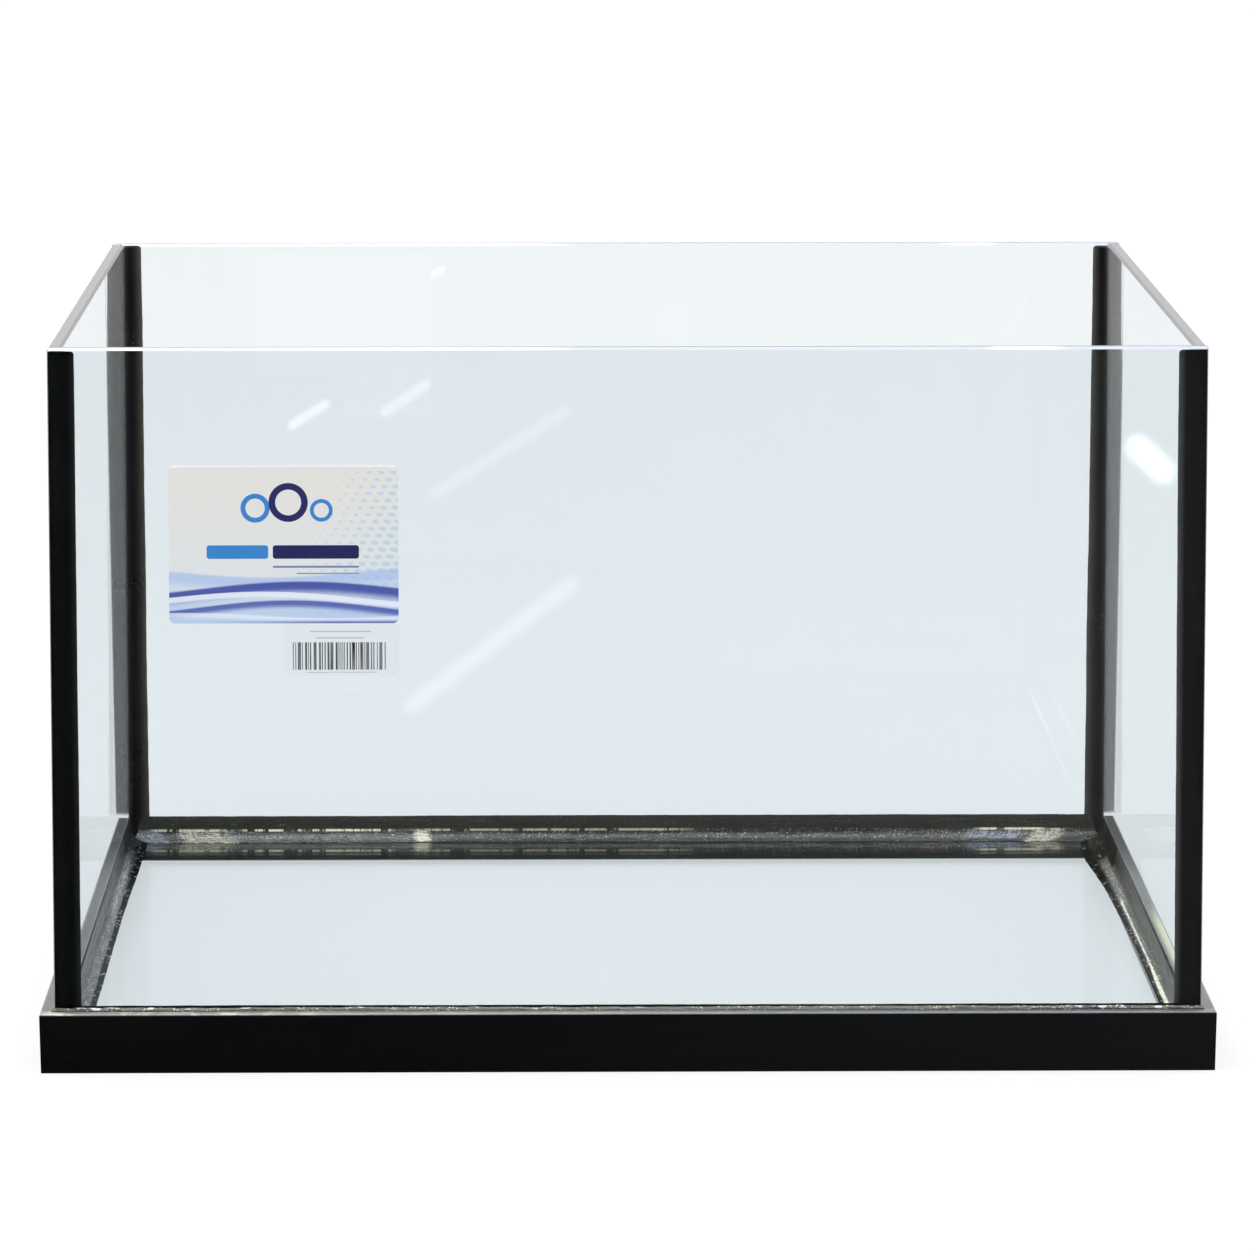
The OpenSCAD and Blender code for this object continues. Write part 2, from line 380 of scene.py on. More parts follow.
def make_silicone(name, base, olive, edge, rough=(0.3, 0.45), streak=0.3, grit=0.3, flecks=0.05):
    """Cured black silicone on an upright: satin, with tooling streaks, pin holes and dust.
    It takes the edge colour where it feathers out."""
    net = material_net(name)
    pos = net.coords()
    patches = net.noise(pos, 38.0, detail=4.0, rough=0.6)
    fine = net.noise(pos, 650.0, rough=0.6)
    pits = net.cells(pos, 420.0).step(0.16, 0.05)
    waver = net.noise(net.scaled(pos, 1.0, 1.0, 1.0), 6.0, detail=1.0)
    lines = (net.attr("across") * 58.0 + waver * 9.0).math("SINE")
    specks = (net.cells(net.scaled(pos, 1.0, 1.0, 0.55), 560.0).step(0.2, 0.1)
              * net.noise(pos, 30.0, rough=0.6).step(0.57, 0.66))
    colour = net.mix(patches.step(0.4, 0.7), base, olive)
    colour = net.mix(net.attr("feather") * 0.95, colour, edge)
    colour = net.mix(pits * 0.3, colour, (0.0, 0.0, 0.0))
    colour = net.mix(specks * flecks, colour, (0.42, 0.40, 0.34))
    height = lines * (0.35 * streak) + (fine * grit + patches * 0.6) - pits * 0.6
    return net.finish(net.principled(
        Base_Color=colour, Roughness=patches.ramp(*rough) + fine.step(0.5, 0.75) * 0.1, IOR=1.43,
        Normal=net.bump(height, strength=0.4, distance=0.00015)))


def make_floor_silicone(name, strip, hollow, lit, streaks, drag, flecks, rough, relief,
                        dark_edge=0.0, edge_to=0.1, gloss=(0.5, 0.5),
                        dull_tone=(0.03, 0.028, 0.028), speck_grain=(1.0, 1.0), line_grain=1.0):
    """Silicone tooled along the foot of a wall: a flat strip above the knee, and below it a
    hollow with drag marks, tool lines and dust.

    strip, hollow and lit are colours, lit being the hollow's paler blotches, a painted sheen.
    dark_edge and edge_to set the strength and reach of the dark floor edge. gloss is the specular
    level of hollow and strip. speck_grain (along, across) and line_grain (across) stretch the
    marks.
    The mesh marks for warm and cool light say where painted highlights and glints go, and
    dull where it is darker and without sheen."""
    net = material_net(name)
    thin, run, along, painted_warm_light, painted_cool_light, ridge, dull = (
        net.attr(key) for key in FLOOR_MARKS)
    flat = net.node("CombineXYZ", {0: along, 1: run * 16.0})

    def field(along_rate, across_rate, detail=3.0, rough=0.5, distortion=0.0):
        return net.noise(net.scaled(flat, along_rate, across_rate, 1.0), 1.0,
                         detail, rough, distortion)

    def speck_field(along_rate, across_rate, rough):
        return field(along_rate * speck_grain[0], across_rate * speck_grain[1], 2.0, rough)

    long_lines = field(0.03, 2.6 * line_grain, rough=0.55, distortion=0.25)
    long_fine = field(0.09, 7.0 * line_grain, detail=2.0, distortion=0.1)
    hair = field(0.016, 4.2 * line_grain, detail=2.0, distortion=0.1)
    across_lines = field(0.62, 0.06, detail=5.0, rough=0.72)
    cuts = field(1.05, 0.04, rough=0.65)
    blotch = field(0.06, 0.25, rough=0.55)
    fine = field(2.4, 2.4, rough=0.65)
    dots = net.cells(net.scaled(flat, 0.86 * speck_grain[0], speck_grain[1], 1.0), 1.0)
    upper = run.step(0.575, 0.62)
    low = 1.0 - upper

    # body colour with paler blotches of painted sheen, tool lines and darker places
    colour = net.mix(upper, net.mix(blotch.step(0.35, 0.7), hollow, lit), strip)
    shade = long_lines.ramp(1.0 - streaks, 1.0 + streaks)
    grey = net.node("CombineColor", {0: shade, 1: shade, 2: shade})
    colour = net.mix(1.0, colour, grey, "MULTIPLY")
    colour = net.mix(across_lines.step(0.46, 0.66) * low * (drag * 0.7), colour,
                     (0.15, 0.16, 0.165))
    colour = net.mix(long_fine.step(0.56, 0.64) * low * (0.6 * streaks), colour, (0.004,) * 3)
    colour = net.mix(hair.step(0.565, 0.615) * low * streaks, colour, (0.006,) * 3)
    darkened = dull.math("MULTIPLY", fine.ramp(0.85, 1.1, over=(0.35, 0.65)), clamp=True)
    colour = net.mix(darkened, colour, dull_tone)

    # dark floor edge, dust specks that also stand in for painted glints, and the feathered rims
    edge = (run + (fine - 0.5) * 0.03).step(edge_to, edge_to * 0.75) * dark_edge
    colour = net.mix(edge, colour, (0.010, 0.010, 0.011))
    dusty = field(0.05, 0.3, rough=0.6).step(0.46, 0.62) + 0.3
    picked = dots.step(0.40, 0.26) * speck_field(0.7, 0.7, 0.85).step(0.44, 0.60)
    dust_and_painted_highlight = picked * dusty * (1.0 - upper * 0.88) * (1.0 - dull * 0.55)
    shades = net.mix(field(0.9, 0.9, detail=1.0).step(0.35, 0.65),
                     (0.20, 0.20, 0.17), (0.95, 0.93, 0.76))
    colour = net.mix(dust_and_painted_highlight.math("MULTIPLY", flecks, clamp=True), colour, shades)
    colour = net.mix(thin * 0.5 * (1.0 - edge), colour, (0.06, 0.06, 0.05))
    edge_dust = dots.step(0.30, 0.18) * speck_field(0.8, 0.8, 0.8).step(0.50, 0.62)
    colour = net.mix(edge_dust * edge * 0.5, colour, (0.35, 0.35, 0.33))

    # painted highlights: glowing dashes on the knee, painted warm and cool glints in the hollow
    knee = run.step(0.520, 0.545) * run.step(0.620, 0.595)
    dashes = field(0.13, 0.02, detail=2.0, rough=0.6).step(0.41, 0.47) * cuts.step(0.36, 0.44)
    shiny = knee * ridge * dashes
    colour = net.mix(shiny, colour, (1.0, 0.96, 0.68))
    rows = field(0.13, 2.3, detail=4.0, rough=0.75).step(0.47, 0.56)
    points = dots.step(0.42, 0.20) * speck_field(0.6, 0.8, 0.7).step(0.45, 0.55)
    glints = (rows * cuts.step(0.40, 0.52)).math("MAXIMUM", points)
    warm_part = (painted_warm_light * (glints + painted_warm_light * painted_warm_light * 0.16)).math("MULTIPLY", low, clamp=True)
    colour = net.mix(warm_part, colour, (0.97, 0.95, 0.80))
    cool_part = painted_cool_light * (glints * 0.95 + long_lines.step(0.35, 0.65) * 0.28)
    colour = net.mix(cool_part.math("MULTIPLY", low, clamp=True), colour, (0.62, 0.68, 0.82))

    level = low * gloss[0] + upper * gloss[1]
    level = level * (1.0 - dull * 1.0) * (1.0 - edge * 0.97)
    height = across_lines * drag + (fine * 0.8 + (long_lines * streaks
                                                  + long_fine * (0.5 * streaks)))
    return net.finish(net.principled(
        Base_Color=colour, Roughness=rough + (fine - 0.5) * 0.2, IOR=1.43,
        Normal=net.bump(height, strength=0.5, distance=relief), Specular_IOR_Level=level,
        # the painted dashes and warm glints also glow
        Emission_Color=(1.0, 0.95, 0.62),
        Emission_Strength=shiny * 0.35 + painted_warm_light * painted_warm_light * (glints * low) * 0.16))


def make_seal_silicone():
    """The untooled silicone on the lip: black, with a film of dust, painted sparkles along its
    top, painted glints on its lumps, and painted sheen and shade on its flanks.
    """
    net = material_net("black_silicone_seal")
    pos = net.coords()
    x, y, _ = net.separate(pos)
    run = net.attr("across")
    side = abs(x)
    flank = side.step(HALF_W - 1.0 * MM, HALF_W)
    smear = net.noise(net.scaled(pos, 1.0, 1.0, 2.0), 330.0, detail=4.0, rough=0.7,
                      distortion=0.3)
    grains = net.noise(pos, 900.0, rough=0.65)
    pale_tone = smear.step(0.22, 0.50) * side.ramp(1.0, 0.30, over=(0.14, 0.21))
    colour = net.mix(pale_tone, (0.006, 0.0065, 0.007), (0.120, 0.128, 0.108))
    colour = net.mix(grains.step(0.5, 0.7) * 0.5, colour, (0.05, 0.052, 0.05))
    # painted sparkles: small pale dots for light caught along the seal's top
    painted_sparkles = (net.cells(net.scaled(pos, 1.0, 1.0, 1.4), 700.0).step(0.42, 0.26)
              * net.noise(pos, 140.0, rough=0.7).step(0.44, 0.54))
    painted_sparkles = painted_sparkles * run.ramp(0.95, 0.30, over=(0.15, 0.7))
    colour = net.mix(painted_sparkles, colour, (0.80, 0.80, 0.66))
    shiny = net.noise(net.scaled(pos, 0.42, 1.0, 1.0), 330.0, detail=2.0, rough=0.6)
    far = side.step(0.16, 0.21)
    # painted glints on the lumps: white on the left, bluish on the right
    lumps = (shiny + far * 0.05).step(0.61, 0.66) * (run - far * 0.3).step(0.42, 0.20)
    lumps = lumps * side.ramp(0.75, 1.0, over=(0.12, 0.20)) * (1.0 - flank)
    glint_tone = net.mix(x.step(0.05, 0.15), (0.93, 0.94, 0.93), (0.76, 0.78, 0.88))
    colour = net.mix(lumps, colour, glint_tone)
    # the flanks on the side lips: a painted grey sheen, and towards the back painted shade with
    # the sheen taken off
    flank_tone = net.mix(smear.step(0.3, 0.7), (0.085, 0.083, 0.080), (0.125, 0.122, 0.118))
    colour = net.mix(flank * 0.9, colour, flank_tone)
    painted_rear_shade = y.step(0.05, 0.19) * flank
    colour = net.mix(painted_rear_shade * 0.9, colour, (0.020, 0.019, 0.018))
    return net.finish(net.principled(
        Base_Color=colour, Roughness=smear.ramp(0.16, 0.34) + pale_tone * 0.2, IOR=1.43,
        Normal=net.bump(grains + smear * 1.5, strength=0.5, distance=0.00018),
        Specular_IOR_Level=0.5 - painted_rear_shade * 0.46))


# ---------------------------------------------------------------- frame material


def make_plastic():
    """Black moulded plastic: semi-gloss, with flow bands, scuffs, dust on the lip, and painted
    highlight and painted shade on the lip.
    """
    net = material_net("black_moulded_plastic")
    pos = net.coords()
    x, y, z = net.separate(pos)
    _, _, normal_z = net.separate(net.node("NewGeometry", output="Normal"))
    flow = net.noise(net.scaled(pos, 1.0, 1.0, 5.0), 7.0, distortion=0.4)
    grain = net.noise(pos, 1900.0, detail=2.0, rough=0.6)
    scuff = net.noise(net.scaled(pos, 14.0, 14.0, 420.0), 1.0, detail=2.0, rough=0.55,
                      distortion=0.3)
    marks = scuff.step(0.72, 0.78)
    lip = z.step(LIP_Z - 4.0 * MM, LIP_Z - 3.0 * MM)
    up = normal_z.step(0.15, 0.8) * lip
    top = normal_z.step(0.9, 0.99) * lip
    dust_and_painted_highlight = net.noise(net.scaled(pos, 0.3, 0.3, 3.0), 160.0, detail=5.0, rough=0.65)
    dust_and_painted_highlight = up * dust_and_painted_highlight.ramp(0.6, 1.0, over=(0.35, 0.65))
    specks = net.cells(pos, 230.0).step(0.12, 0.04) * net.noise(pos, 26.0, 2.0).step(0.5, 0.6)
    colour = net.mix(flow, (0.0013, 0.0017, 0.0021), (0.0026, 0.0031, 0.0036))
    colour = net.mix(marks * 0.25, colour, (0.010, 0.011, 0.012))

    # the lip's film of dust, with a painted highlight along the front that breaks into dashes and
    # changes in tone: warm on the left, neutral in the middle, bluish on the right
    dash_noise = net.noise(net.scaled(pos, 0.25, 0.25, 1.0), 210.0, rough=0.6)
    painted_lip_highlight = net.mix(dash_noise.step(0.46, 0.58), (0.44, 0.43, 0.39), (1.0, 0.97, 0.84))
    painted_lip_highlight = net.mix(x.step(-0.22, -0.04), painted_lip_highlight, (0.37, 0.375, 0.37))
    painted_lip_highlight = net.mix(x.step(-0.02, 0.14), painted_lip_highlight, (0.185, 0.19, 0.25))
    face = y.step(-HALF_D + 2.0 * MM, -HALF_D - 0.5 * MM)
    pale_tone = net.mix(face, (0.24, 0.245, 0.24), painted_lip_highlight)
    # dust on the lip's upward faces, and along its front the painted highlight
    colour = net.mix(dust_and_painted_highlight * (face * 0.28 + 0.62), colour, pale_tone)
    # the flat tops: grey, and on the front lip mixed half with the painted highlight
    top_front = net.mix(0.5, (0.115, 0.110, 0.108), painted_lip_highlight)
    colour = net.mix(top * 0.78, colour, net.mix(face, (0.118, 0.114, 0.112), top_front))

    # the lip's top as it shows through the glass: on the right side a weak painted greenish gleam
    # and a brighter painted highlight near its outer edge, and at the back painted shade with the
    # sheen taken off
    depth = net.node("LightPath", output="Transmission Depth")
    through = top * depth.math("MINIMUM", 1.0).step(0.5, 0.5001)
    wipe_haze_and_painted_gleam = y.step(0.125, 0.085) * x.step(0.20, 0.23) * 0.55
    colour = net.mix(wipe_haze_and_painted_gleam * through, colour, (0.27, 0.29, 0.25))
    gleam = (y.step(-0.165, -0.135) * y.step(0.012, -0.055)
             * x.step(FRAME_X - 5.6 * MM, FRAME_X - 2.6 * MM))
    colour = net.mix(gleam * through, colour, (0.84, 0.86, 0.58))
    painted_rear_shade = y.step(0.05, 0.19) * through
    colour = net.mix(painted_rear_shade * 0.9, colour, (0.026, 0.024, 0.023))
    colour = net.mix(specks * up * 0.35, colour, (0.4, 0.38, 0.36))
    height = grain * 0.5 + (flow * 1.4 + marks * -0.7)
    return net.finish(net.principled(
        Base_Color=colour, Roughness=flow.ramp(0.24, 0.32) + marks * 0.1 + dust_and_painted_highlight * 0.12, IOR=1.49,
        Normal=net.bump(height, strength=0.25, distance=0.00006),
        Specular_IOR_Level=0.5 - painted_rear_shade * 0.47))


# ---------------------------------------------------------------- paper materials


def print_place(net):
    """Millimetres right and up from a sticker's lower left corner."""
    right, up, _ = net.separate(net.node("UVMap", uv_map="print"))
    return right, up


def paper_relief(net, pos):
    fibre = net.noise(pos, 2600.0, detail=4.0, rough=0.6)
    sag = net.noise(pos, 70.0, detail=2.0)
    return net.bump(fibre * 0.35 + sag, strength=0.3, distance=0.00006), fibre


NAVY, BLUE = (0.012, 0.014, 0.11), (0.025, 0.22, 0.60)

# centre height, wave height, wave length, phase, half width, soft edge, strength, colour
PRINT_BANDS = (
    (21.5, 2.2, 150.0, 2.9, 1.6, 5.0, 0.7, (0.36, 0.50, 0.82)),
    (14.0, 3.6, 190.0, -0.35, 1.5, 4.5, 0.95, (0.040, 0.065, 0.38)),
    (10.2, 3.0, 175.0, 0.1, 1.0, 1.2, 0.9, (0.78, 0.82, 0.92)),
    (6.5, 3.2, 160.0, -0.5, 0.9, 3.0, 0.9, (0.060, 0.085, 0.42)),
    (3.2, 1.2, 130.0, 1.2, 0.6, 2.6, 0.7, (0.78, 0.84, 0.94)),
)
# left, right, bottom, top, corner radius, colour
PRINT_BARS = (
    (16.6, 43.6, 28.6, 34.6, 1.2, BLUE),
    (45.6, 83.4, 28.6, 34.6, 1.2, NAVY),
    (45.6, 83.4, 24.6, 25.5, 0.4, (0.20, 0.22, 0.38)),
    (56.0, 83.4, 21.8, 22.4, 0.3, (0.26, 0.28, 0.42)),
)
# centre x, centre y, outer radius, colour
PRINT_RINGS = (
    (38.0, 51.0, 6.4, (0.025, 0.22, 0.62)),
    (52.5, 53.5, 8.6, (0.016, 0.018, 0.13)),
    (67.0, 50.0, 5.0, (0.025, 0.22, 0.62)),
)


def make_product_paper():
    """Coated sticker stock printed with blue dots, soft bands, plain bars and rings.
    All print sizes are in millimetres."""
    net = material_net("printed_sticker_paper")
    u, v = print_place(net)
    pos = net.coords()
    normal, fibre = paper_relief(net, pos)
    width, height = LABEL_W / MM, LABEL_H / MM
    colour = net.mix(v.step(0.0, height), (0.70, 0.755, 0.79), (0.745, 0.74, 0.715))

    # a leaning field of dots in staggered rows, larger towards the right
    pitch_x, pitch_y = 5.2, 3.1
    leaning = u + v * 0.24
    odd = (v / pitch_y).math("FLOOR").math("MODULO", 2.0)
    dot_x = (leaning + odd * (pitch_x / 2)).math("FLOORED_MODULO", pitch_x) - pitch_x / 2
    dot_y = v.math("FLOORED_MODULO", pitch_y) - pitch_y / 2
    far = (dot_x * dot_x * 0.30 + dot_y * dot_y).math("SQRT")
    size = (u + (0.35 * height - v) * 0.35).step(0.40 * width, 1.05 * width) * 1.12
    dots = (far - size).step(0.14, -0.14) * size.step(0.0, 0.25)
    colour = net.mix(dots * 0.72, colour, (0.42, 0.62, 0.80))

    # a wash and wavy bands along the lower third
    wash = (v + (u * 0.045).math("SINE") * 3.0).step(0.40 * height, 0.02 * height)
    colour = net.mix(wash * 0.80, colour, (0.40, 0.56, 0.84))
    for middle, swing, period, phase, half, soft, strength, tone in PRINT_BANDS:
        wave = (u * (2 * math.pi / period) + phase).math("SINE") * swing
        off = v - (wave + middle)
        body = off.step(-half - soft, -half) * off.step(half, half - soft * 0.25)
        colour = net.mix(body * strength, colour, tone)
    foot = v.step(1.9, 0.2) * u.step(0.1 * width, 0.75 * width) * 0.85
    colour = net.mix(foot, colour, (0.030, 0.085, 0.36))

    for left, right, bottom, top, radius, tone in PRINT_BARS:
        over_x = abs(u - (left + right) / 2) - ((right - left) / 2 - radius)
        over_y = abs(v - (bottom + top) / 2) - ((top - bottom) / 2 - radius)
        outside = length(over_x.math("MAXIMUM", 0.0), over_y.math("MAXIMUM", 0.0)) - radius
        colour = net.mix(outside.step(0.07, -0.07), colour, tone)
    for centre_x, centre_y, radius, tone in PRINT_RINGS:
        far = length(u - centre_x, v - centre_y)
        hole = radius * 0.66
        ring = far.step(radius + 0.07, radius - 0.07) * far.step(hole - 0.07, hole + 0.07)
        colour = net.mix(ring, colour, tone)

    # the unprinted, whiter edge along the top
    rim = (height - v) + u.math("MINIMUM", width - u).step(6.0, 2.5) * -0.25
    colour = net.mix(rim.step(0.75, 0.35) * 0.95, colour, (0.93, 0.935, 0.94))
    colour = net.mix(fibre.step(0.5, 0.8) * 0.06, colour, (0.6, 0.6, 0.6))
    scuff = net.noise(pos, 240.0, rough=0.6).step(0.64, 0.72)
    return net.finish(net.principled(
        Base_Color=colour, Roughness=fibre.ramp(0.26, 0.36) + scuff * 0.2, IOR=1.5,
        Normal=normal))


def make_code_paper():
    """White thermal label with uneven black bars and three grey lines, in millimetres."""
    net = material_net("barcode_sticker_paper")
    u, v = print_place(net)
    pos = net.coords()
    normal, fibre = paper_relief(net, pos)

    def span(place, low, high):
        return place.step(low, low + 0.1) * place.step(high, high - 0.1)

    colour = net.mix(fibre, (0.70, 0.765, 0.81), (0.74, 0.80, 0.845))
    rng = random.Random(20)
    bars = None
    x = 3.6
    while x < 44.2:
        bar = rng.choice((0.4, 0.4, 0.6, 0.9, 1.35))
        one = abs(u - (x + bar / 2)).step(bar / 2 + 0.06, bar / 2 - 0.06)
        bars = bars.math("MAXIMUM", one) if bars else one
        x += bar + rng.choice((0.36, 0.45, 0.7, 1.0))
    tall = span(v, 2.6, 14.9)
    # grey lines: left, right, bottom, top
    for left, right, bottom, top in ((11.0, 38.0, 19.3, 20.0), (14.0, 35.0, 16.5, 17.2),
                                     (9.5, 40.5, 1.3, 1.8)):
        line = span(u, left, right) * span(v, bottom, top)
        colour = net.mix(line * 0.45, colour, (0.18, 0.18, 0.2))
    fade = net.noise(net.scaled(pos, 900.0, 1.0, 40.0), 1.0, detail=2.0).ramp(0.7, 1.0)
    colour = net.mix(bars * tall * fade, colour, (0.012, 0.012, 0.014))
    return net.finish(net.principled(Base_Color=colour, Roughness=fibre.ramp(0.42, 0.55),
                                     IOR=1.48, Normal=normal))


def make_adhesive_side():
    """The glued back of a sticker: dull white with paler patches where air is trapped."""
    net = material_net("sticker_back_paper")
    pos = net.coords()
    patch = net.noise(pos, 120.0, detail=4.0, rough=0.6, distortion=0.3).step(0.5, 0.62)
    fibre = net.noise(pos, 1800.0, rough=0.6)
    colour = net.mix(patch, (0.62, 0.64, 0.66), (0.74, 0.755, 0.77))
    colour = net.mix(fibre * 0.15, colour, (0.5, 0.5, 0.5))
    return net.finish(net.principled(
        Base_Color=colour, Roughness=patch.ramp(0.5, 0.7, over=(0.0, 1.0)), IOR=1.45,
        Normal=net.bump(fibre, strength=0.2, distance=0.00005)))


# ---------------------------------------------------------------- all materials
# What a bead's mesh tells its material: feathered rim, place across, millimetres along,
# then for a floor bead where it gets painted warm and cool light, where painted highlight dashes
# go on the knee, and where it is darker and without sheen.
BEAD_MARKS = ("feather", "across")
FLOOR_MARKS = (*BEAD_MARKS, "along", "painted_warm_light", "painted_cool_light", "ridge", "dull")

glass = make_glass("clear_float_glass", "wall")
floor_glass = make_glass("clear_float_glass_floor", "floor")
side_glass = make_glass("clear_float_glass_side", "side")
edge_flat = make_edge_flat()
edge_arris = make_edge_arris()
silicone_front_left = make_silicone(
    "black_silicone_front_left", base=(0.0008, 0.0014, 0.0017), olive=(0.0014, 0.0019, 0.0021),
    edge=(0.045, 0.040, 0.024))
silicone_front_right = make_silicone(
    "black_silicone_front_right", base=(0.0022, 0.0026, 0.0026), olive=(0.0034, 0.0038, 0.0037),
    edge=(0.15, 0.16, 0.165))
BACK_WEAR = dict(rough=(0.25, 0.42), streak=0.5, grit=0.5, flecks=0.4)
silicone_back_left = make_silicone(
    "black_silicone_back_left", base=(0.0022, 0.0022, 0.0032), olive=(0.0048, 0.0046, 0.0050),
    edge=(0.15, 0.125, 0.10), **BACK_WEAR)
silicone_back_right = make_silicone(
    "black_silicone_back_right", base=(0.0035, 0.0034, 0.0032), olive=(0.0085, 0.008, 0.0065),
    edge=(0.16, 0.145, 0.13), **BACK_WEAR)
silicone_joint = make_silicone(
    "black_silicone_joint", base=(0.003, 0.0035, 0.0035), olive=(0.006, 0.006, 0.006),
    edge=(0.006, 0.006, 0.006), streak=0.2, grit=0.4)
# One black silicone in lit copies: the side beads' much paler body tones are painted sheen.
silicone_back = make_floor_silicone(
    "black_silicone_floor_back", strip=(0.054, 0.054, 0.042), hollow=(0.043, 0.044, 0.043),
    lit=(0.102, 0.104, 0.097), streaks=0.4, drag=0.7, flecks=1.8, rough=0.30, relief=0.00024,
    gloss=(0.30, 0.45))
silicone_front = make_floor_silicone(
    "black_silicone_floor_front", strip=(0.012, 0.012, 0.010), hollow=(0.015, 0.016, 0.016),
    lit=(0.03, 0.03, 0.03), streaks=0.3, drag=0.4, flecks=0.6, rough=0.3, relief=0.00018)
SIDE_TOOLING = dict(streaks=0.8, drag=0.12, relief=0.00016, dark_edge=0.96,
                    speck_grain=(0.22, 0.5), line_grain=0.28)
silicone_left = make_floor_silicone(
    "black_silicone_floor_left", strip=(0.16, 0.17, 0.17), hollow=(0.085, 0.090, 0.094),
    lit=(0.17, 0.175, 0.18), flecks=1.3, rough=0.38, edge_to=0.155, gloss=(0.38, 0.25),
    dull_tone=(0.015, 0.013, 0.015), **SIDE_TOOLING)
silicone_right = make_floor_silicone(
    "black_silicone_floor_right", strip=(0.085, 0.082, 0.064), hollow=(0.060, 0.056, 0.042),
    lit=(0.105, 0.098, 0.078), flecks=1.2, rough=0.36, edge_to=0.145, gloss=(0.36, 0.22),
    dull_tone=(0.024, 0.019, 0.014), **SIDE_TOOLING)
silicone_seal = make_seal_silicone()
plastic = make_plastic()
product_paper = make_product_paper()
code_paper = make_code_paper()
paper_back = make_adhesive_side()

# ---------------------------------------------------------------- glass panes


def pane(node, name, axes, face_glass, corner, seed):
    """A pane lofted along its long edge. axes numbers its long, thin and remaining direction.
    The bevels on the long edges vary a little in width, as an edge grinder leaves them."""
    along, thin, cross = axes
    low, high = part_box(node)
    start, end = low[along], high[along]
    count = 90
    inner = end - start - 2 * corner
    stations = [start, *(start + corner + inner * i / count for i in range(count + 1)), end]
    rings = []
    for station in stations:
        inset = corner if station in (start, end) else 0.0
        t0, t1 = low[thin] + inset, high[thin] - inset
        c0, c1 = low[cross] + inset, high[cross] - inset
        bevel = [ARRIS * (1 + wander(station / MM, seed, (0.03, 0.021, j * 9.7, 0),
                                     (0.012, 0.16, j * 4.1, 5))) - inset * 0.6
                 for j in range(8)]
        outline = ((t0 + bevel[0], c0), (t1 - bevel[1], c0), (t1, c0 + bevel[2]),
                   (t1, c1 - bevel[3]), (t1 - bevel[4], c1), (t0 + bevel[5], c1),
                   (t0, c1 - bevel[6]), (t0, c0 + bevel[7]))
        ring = []
        for t, c in outline:
            point = Vector()
            point[along], point[thin], point[cross] = station, t, c
            ring.append((point,))
        rings.append(ring)

    def pick(face):
        """0 for the faces, 1 for the edges, 2 for the top bevels of the front and back panes."""
        normal = face.normal
        if abs(normal[thin]) > 0.999:
            return 0
        bevelled = abs(normal[along]) < 0.5 and abs(normal[thin]) > 0.05
        upper = face.center[cross] > (low[cross] + high[cross]) / 2
        return 2 if face_glass is glass and bevelled and upper else 1

    ob = loft(name, rings, [face_glass, edge_flat, edge_arris], pick=pick)
    stand_for(ob, node)


pane("front_panel", "front_pane_glass", (0, 1, 2), glass, corner=0.4 * MM, seed=1)
pane("back_panel", "back_pane_glass", (0, 1, 2), glass, corner=0.4 * MM, seed=2)
pane("left_panel", "left_pane_glass", (1, 0, 2), side_glass, corner=0.4 * MM, seed=3)
pane("right_panel", "right_pane_glass", (1, 0, 2), side_glass, corner=0.4 * MM, seed=4)
pane("bottom_panel", "bottom_pane_glass", (0, 2, 1), floor_glass, corner=1.0 * MM, seed=5)

# ---------------------------------------------------------------- corner beads


def bead_section(run, rise, overlap, surface):
    """A closed section of (off one pane, off the other, feather, across): two glued legs
    joined by the open surface."""
    return [(-EMBED, -EMBED, 0.0, 0.0), (run * 0.5, -EMBED, 0.0, 0.0),
            (run + overlap, -EMBED, 1.0, 0.0), *surface,
            (-EMBED, rise + overlap, 1.0, 1.0), (-EMBED, rise * 0.5, 0.0, 1.0)]


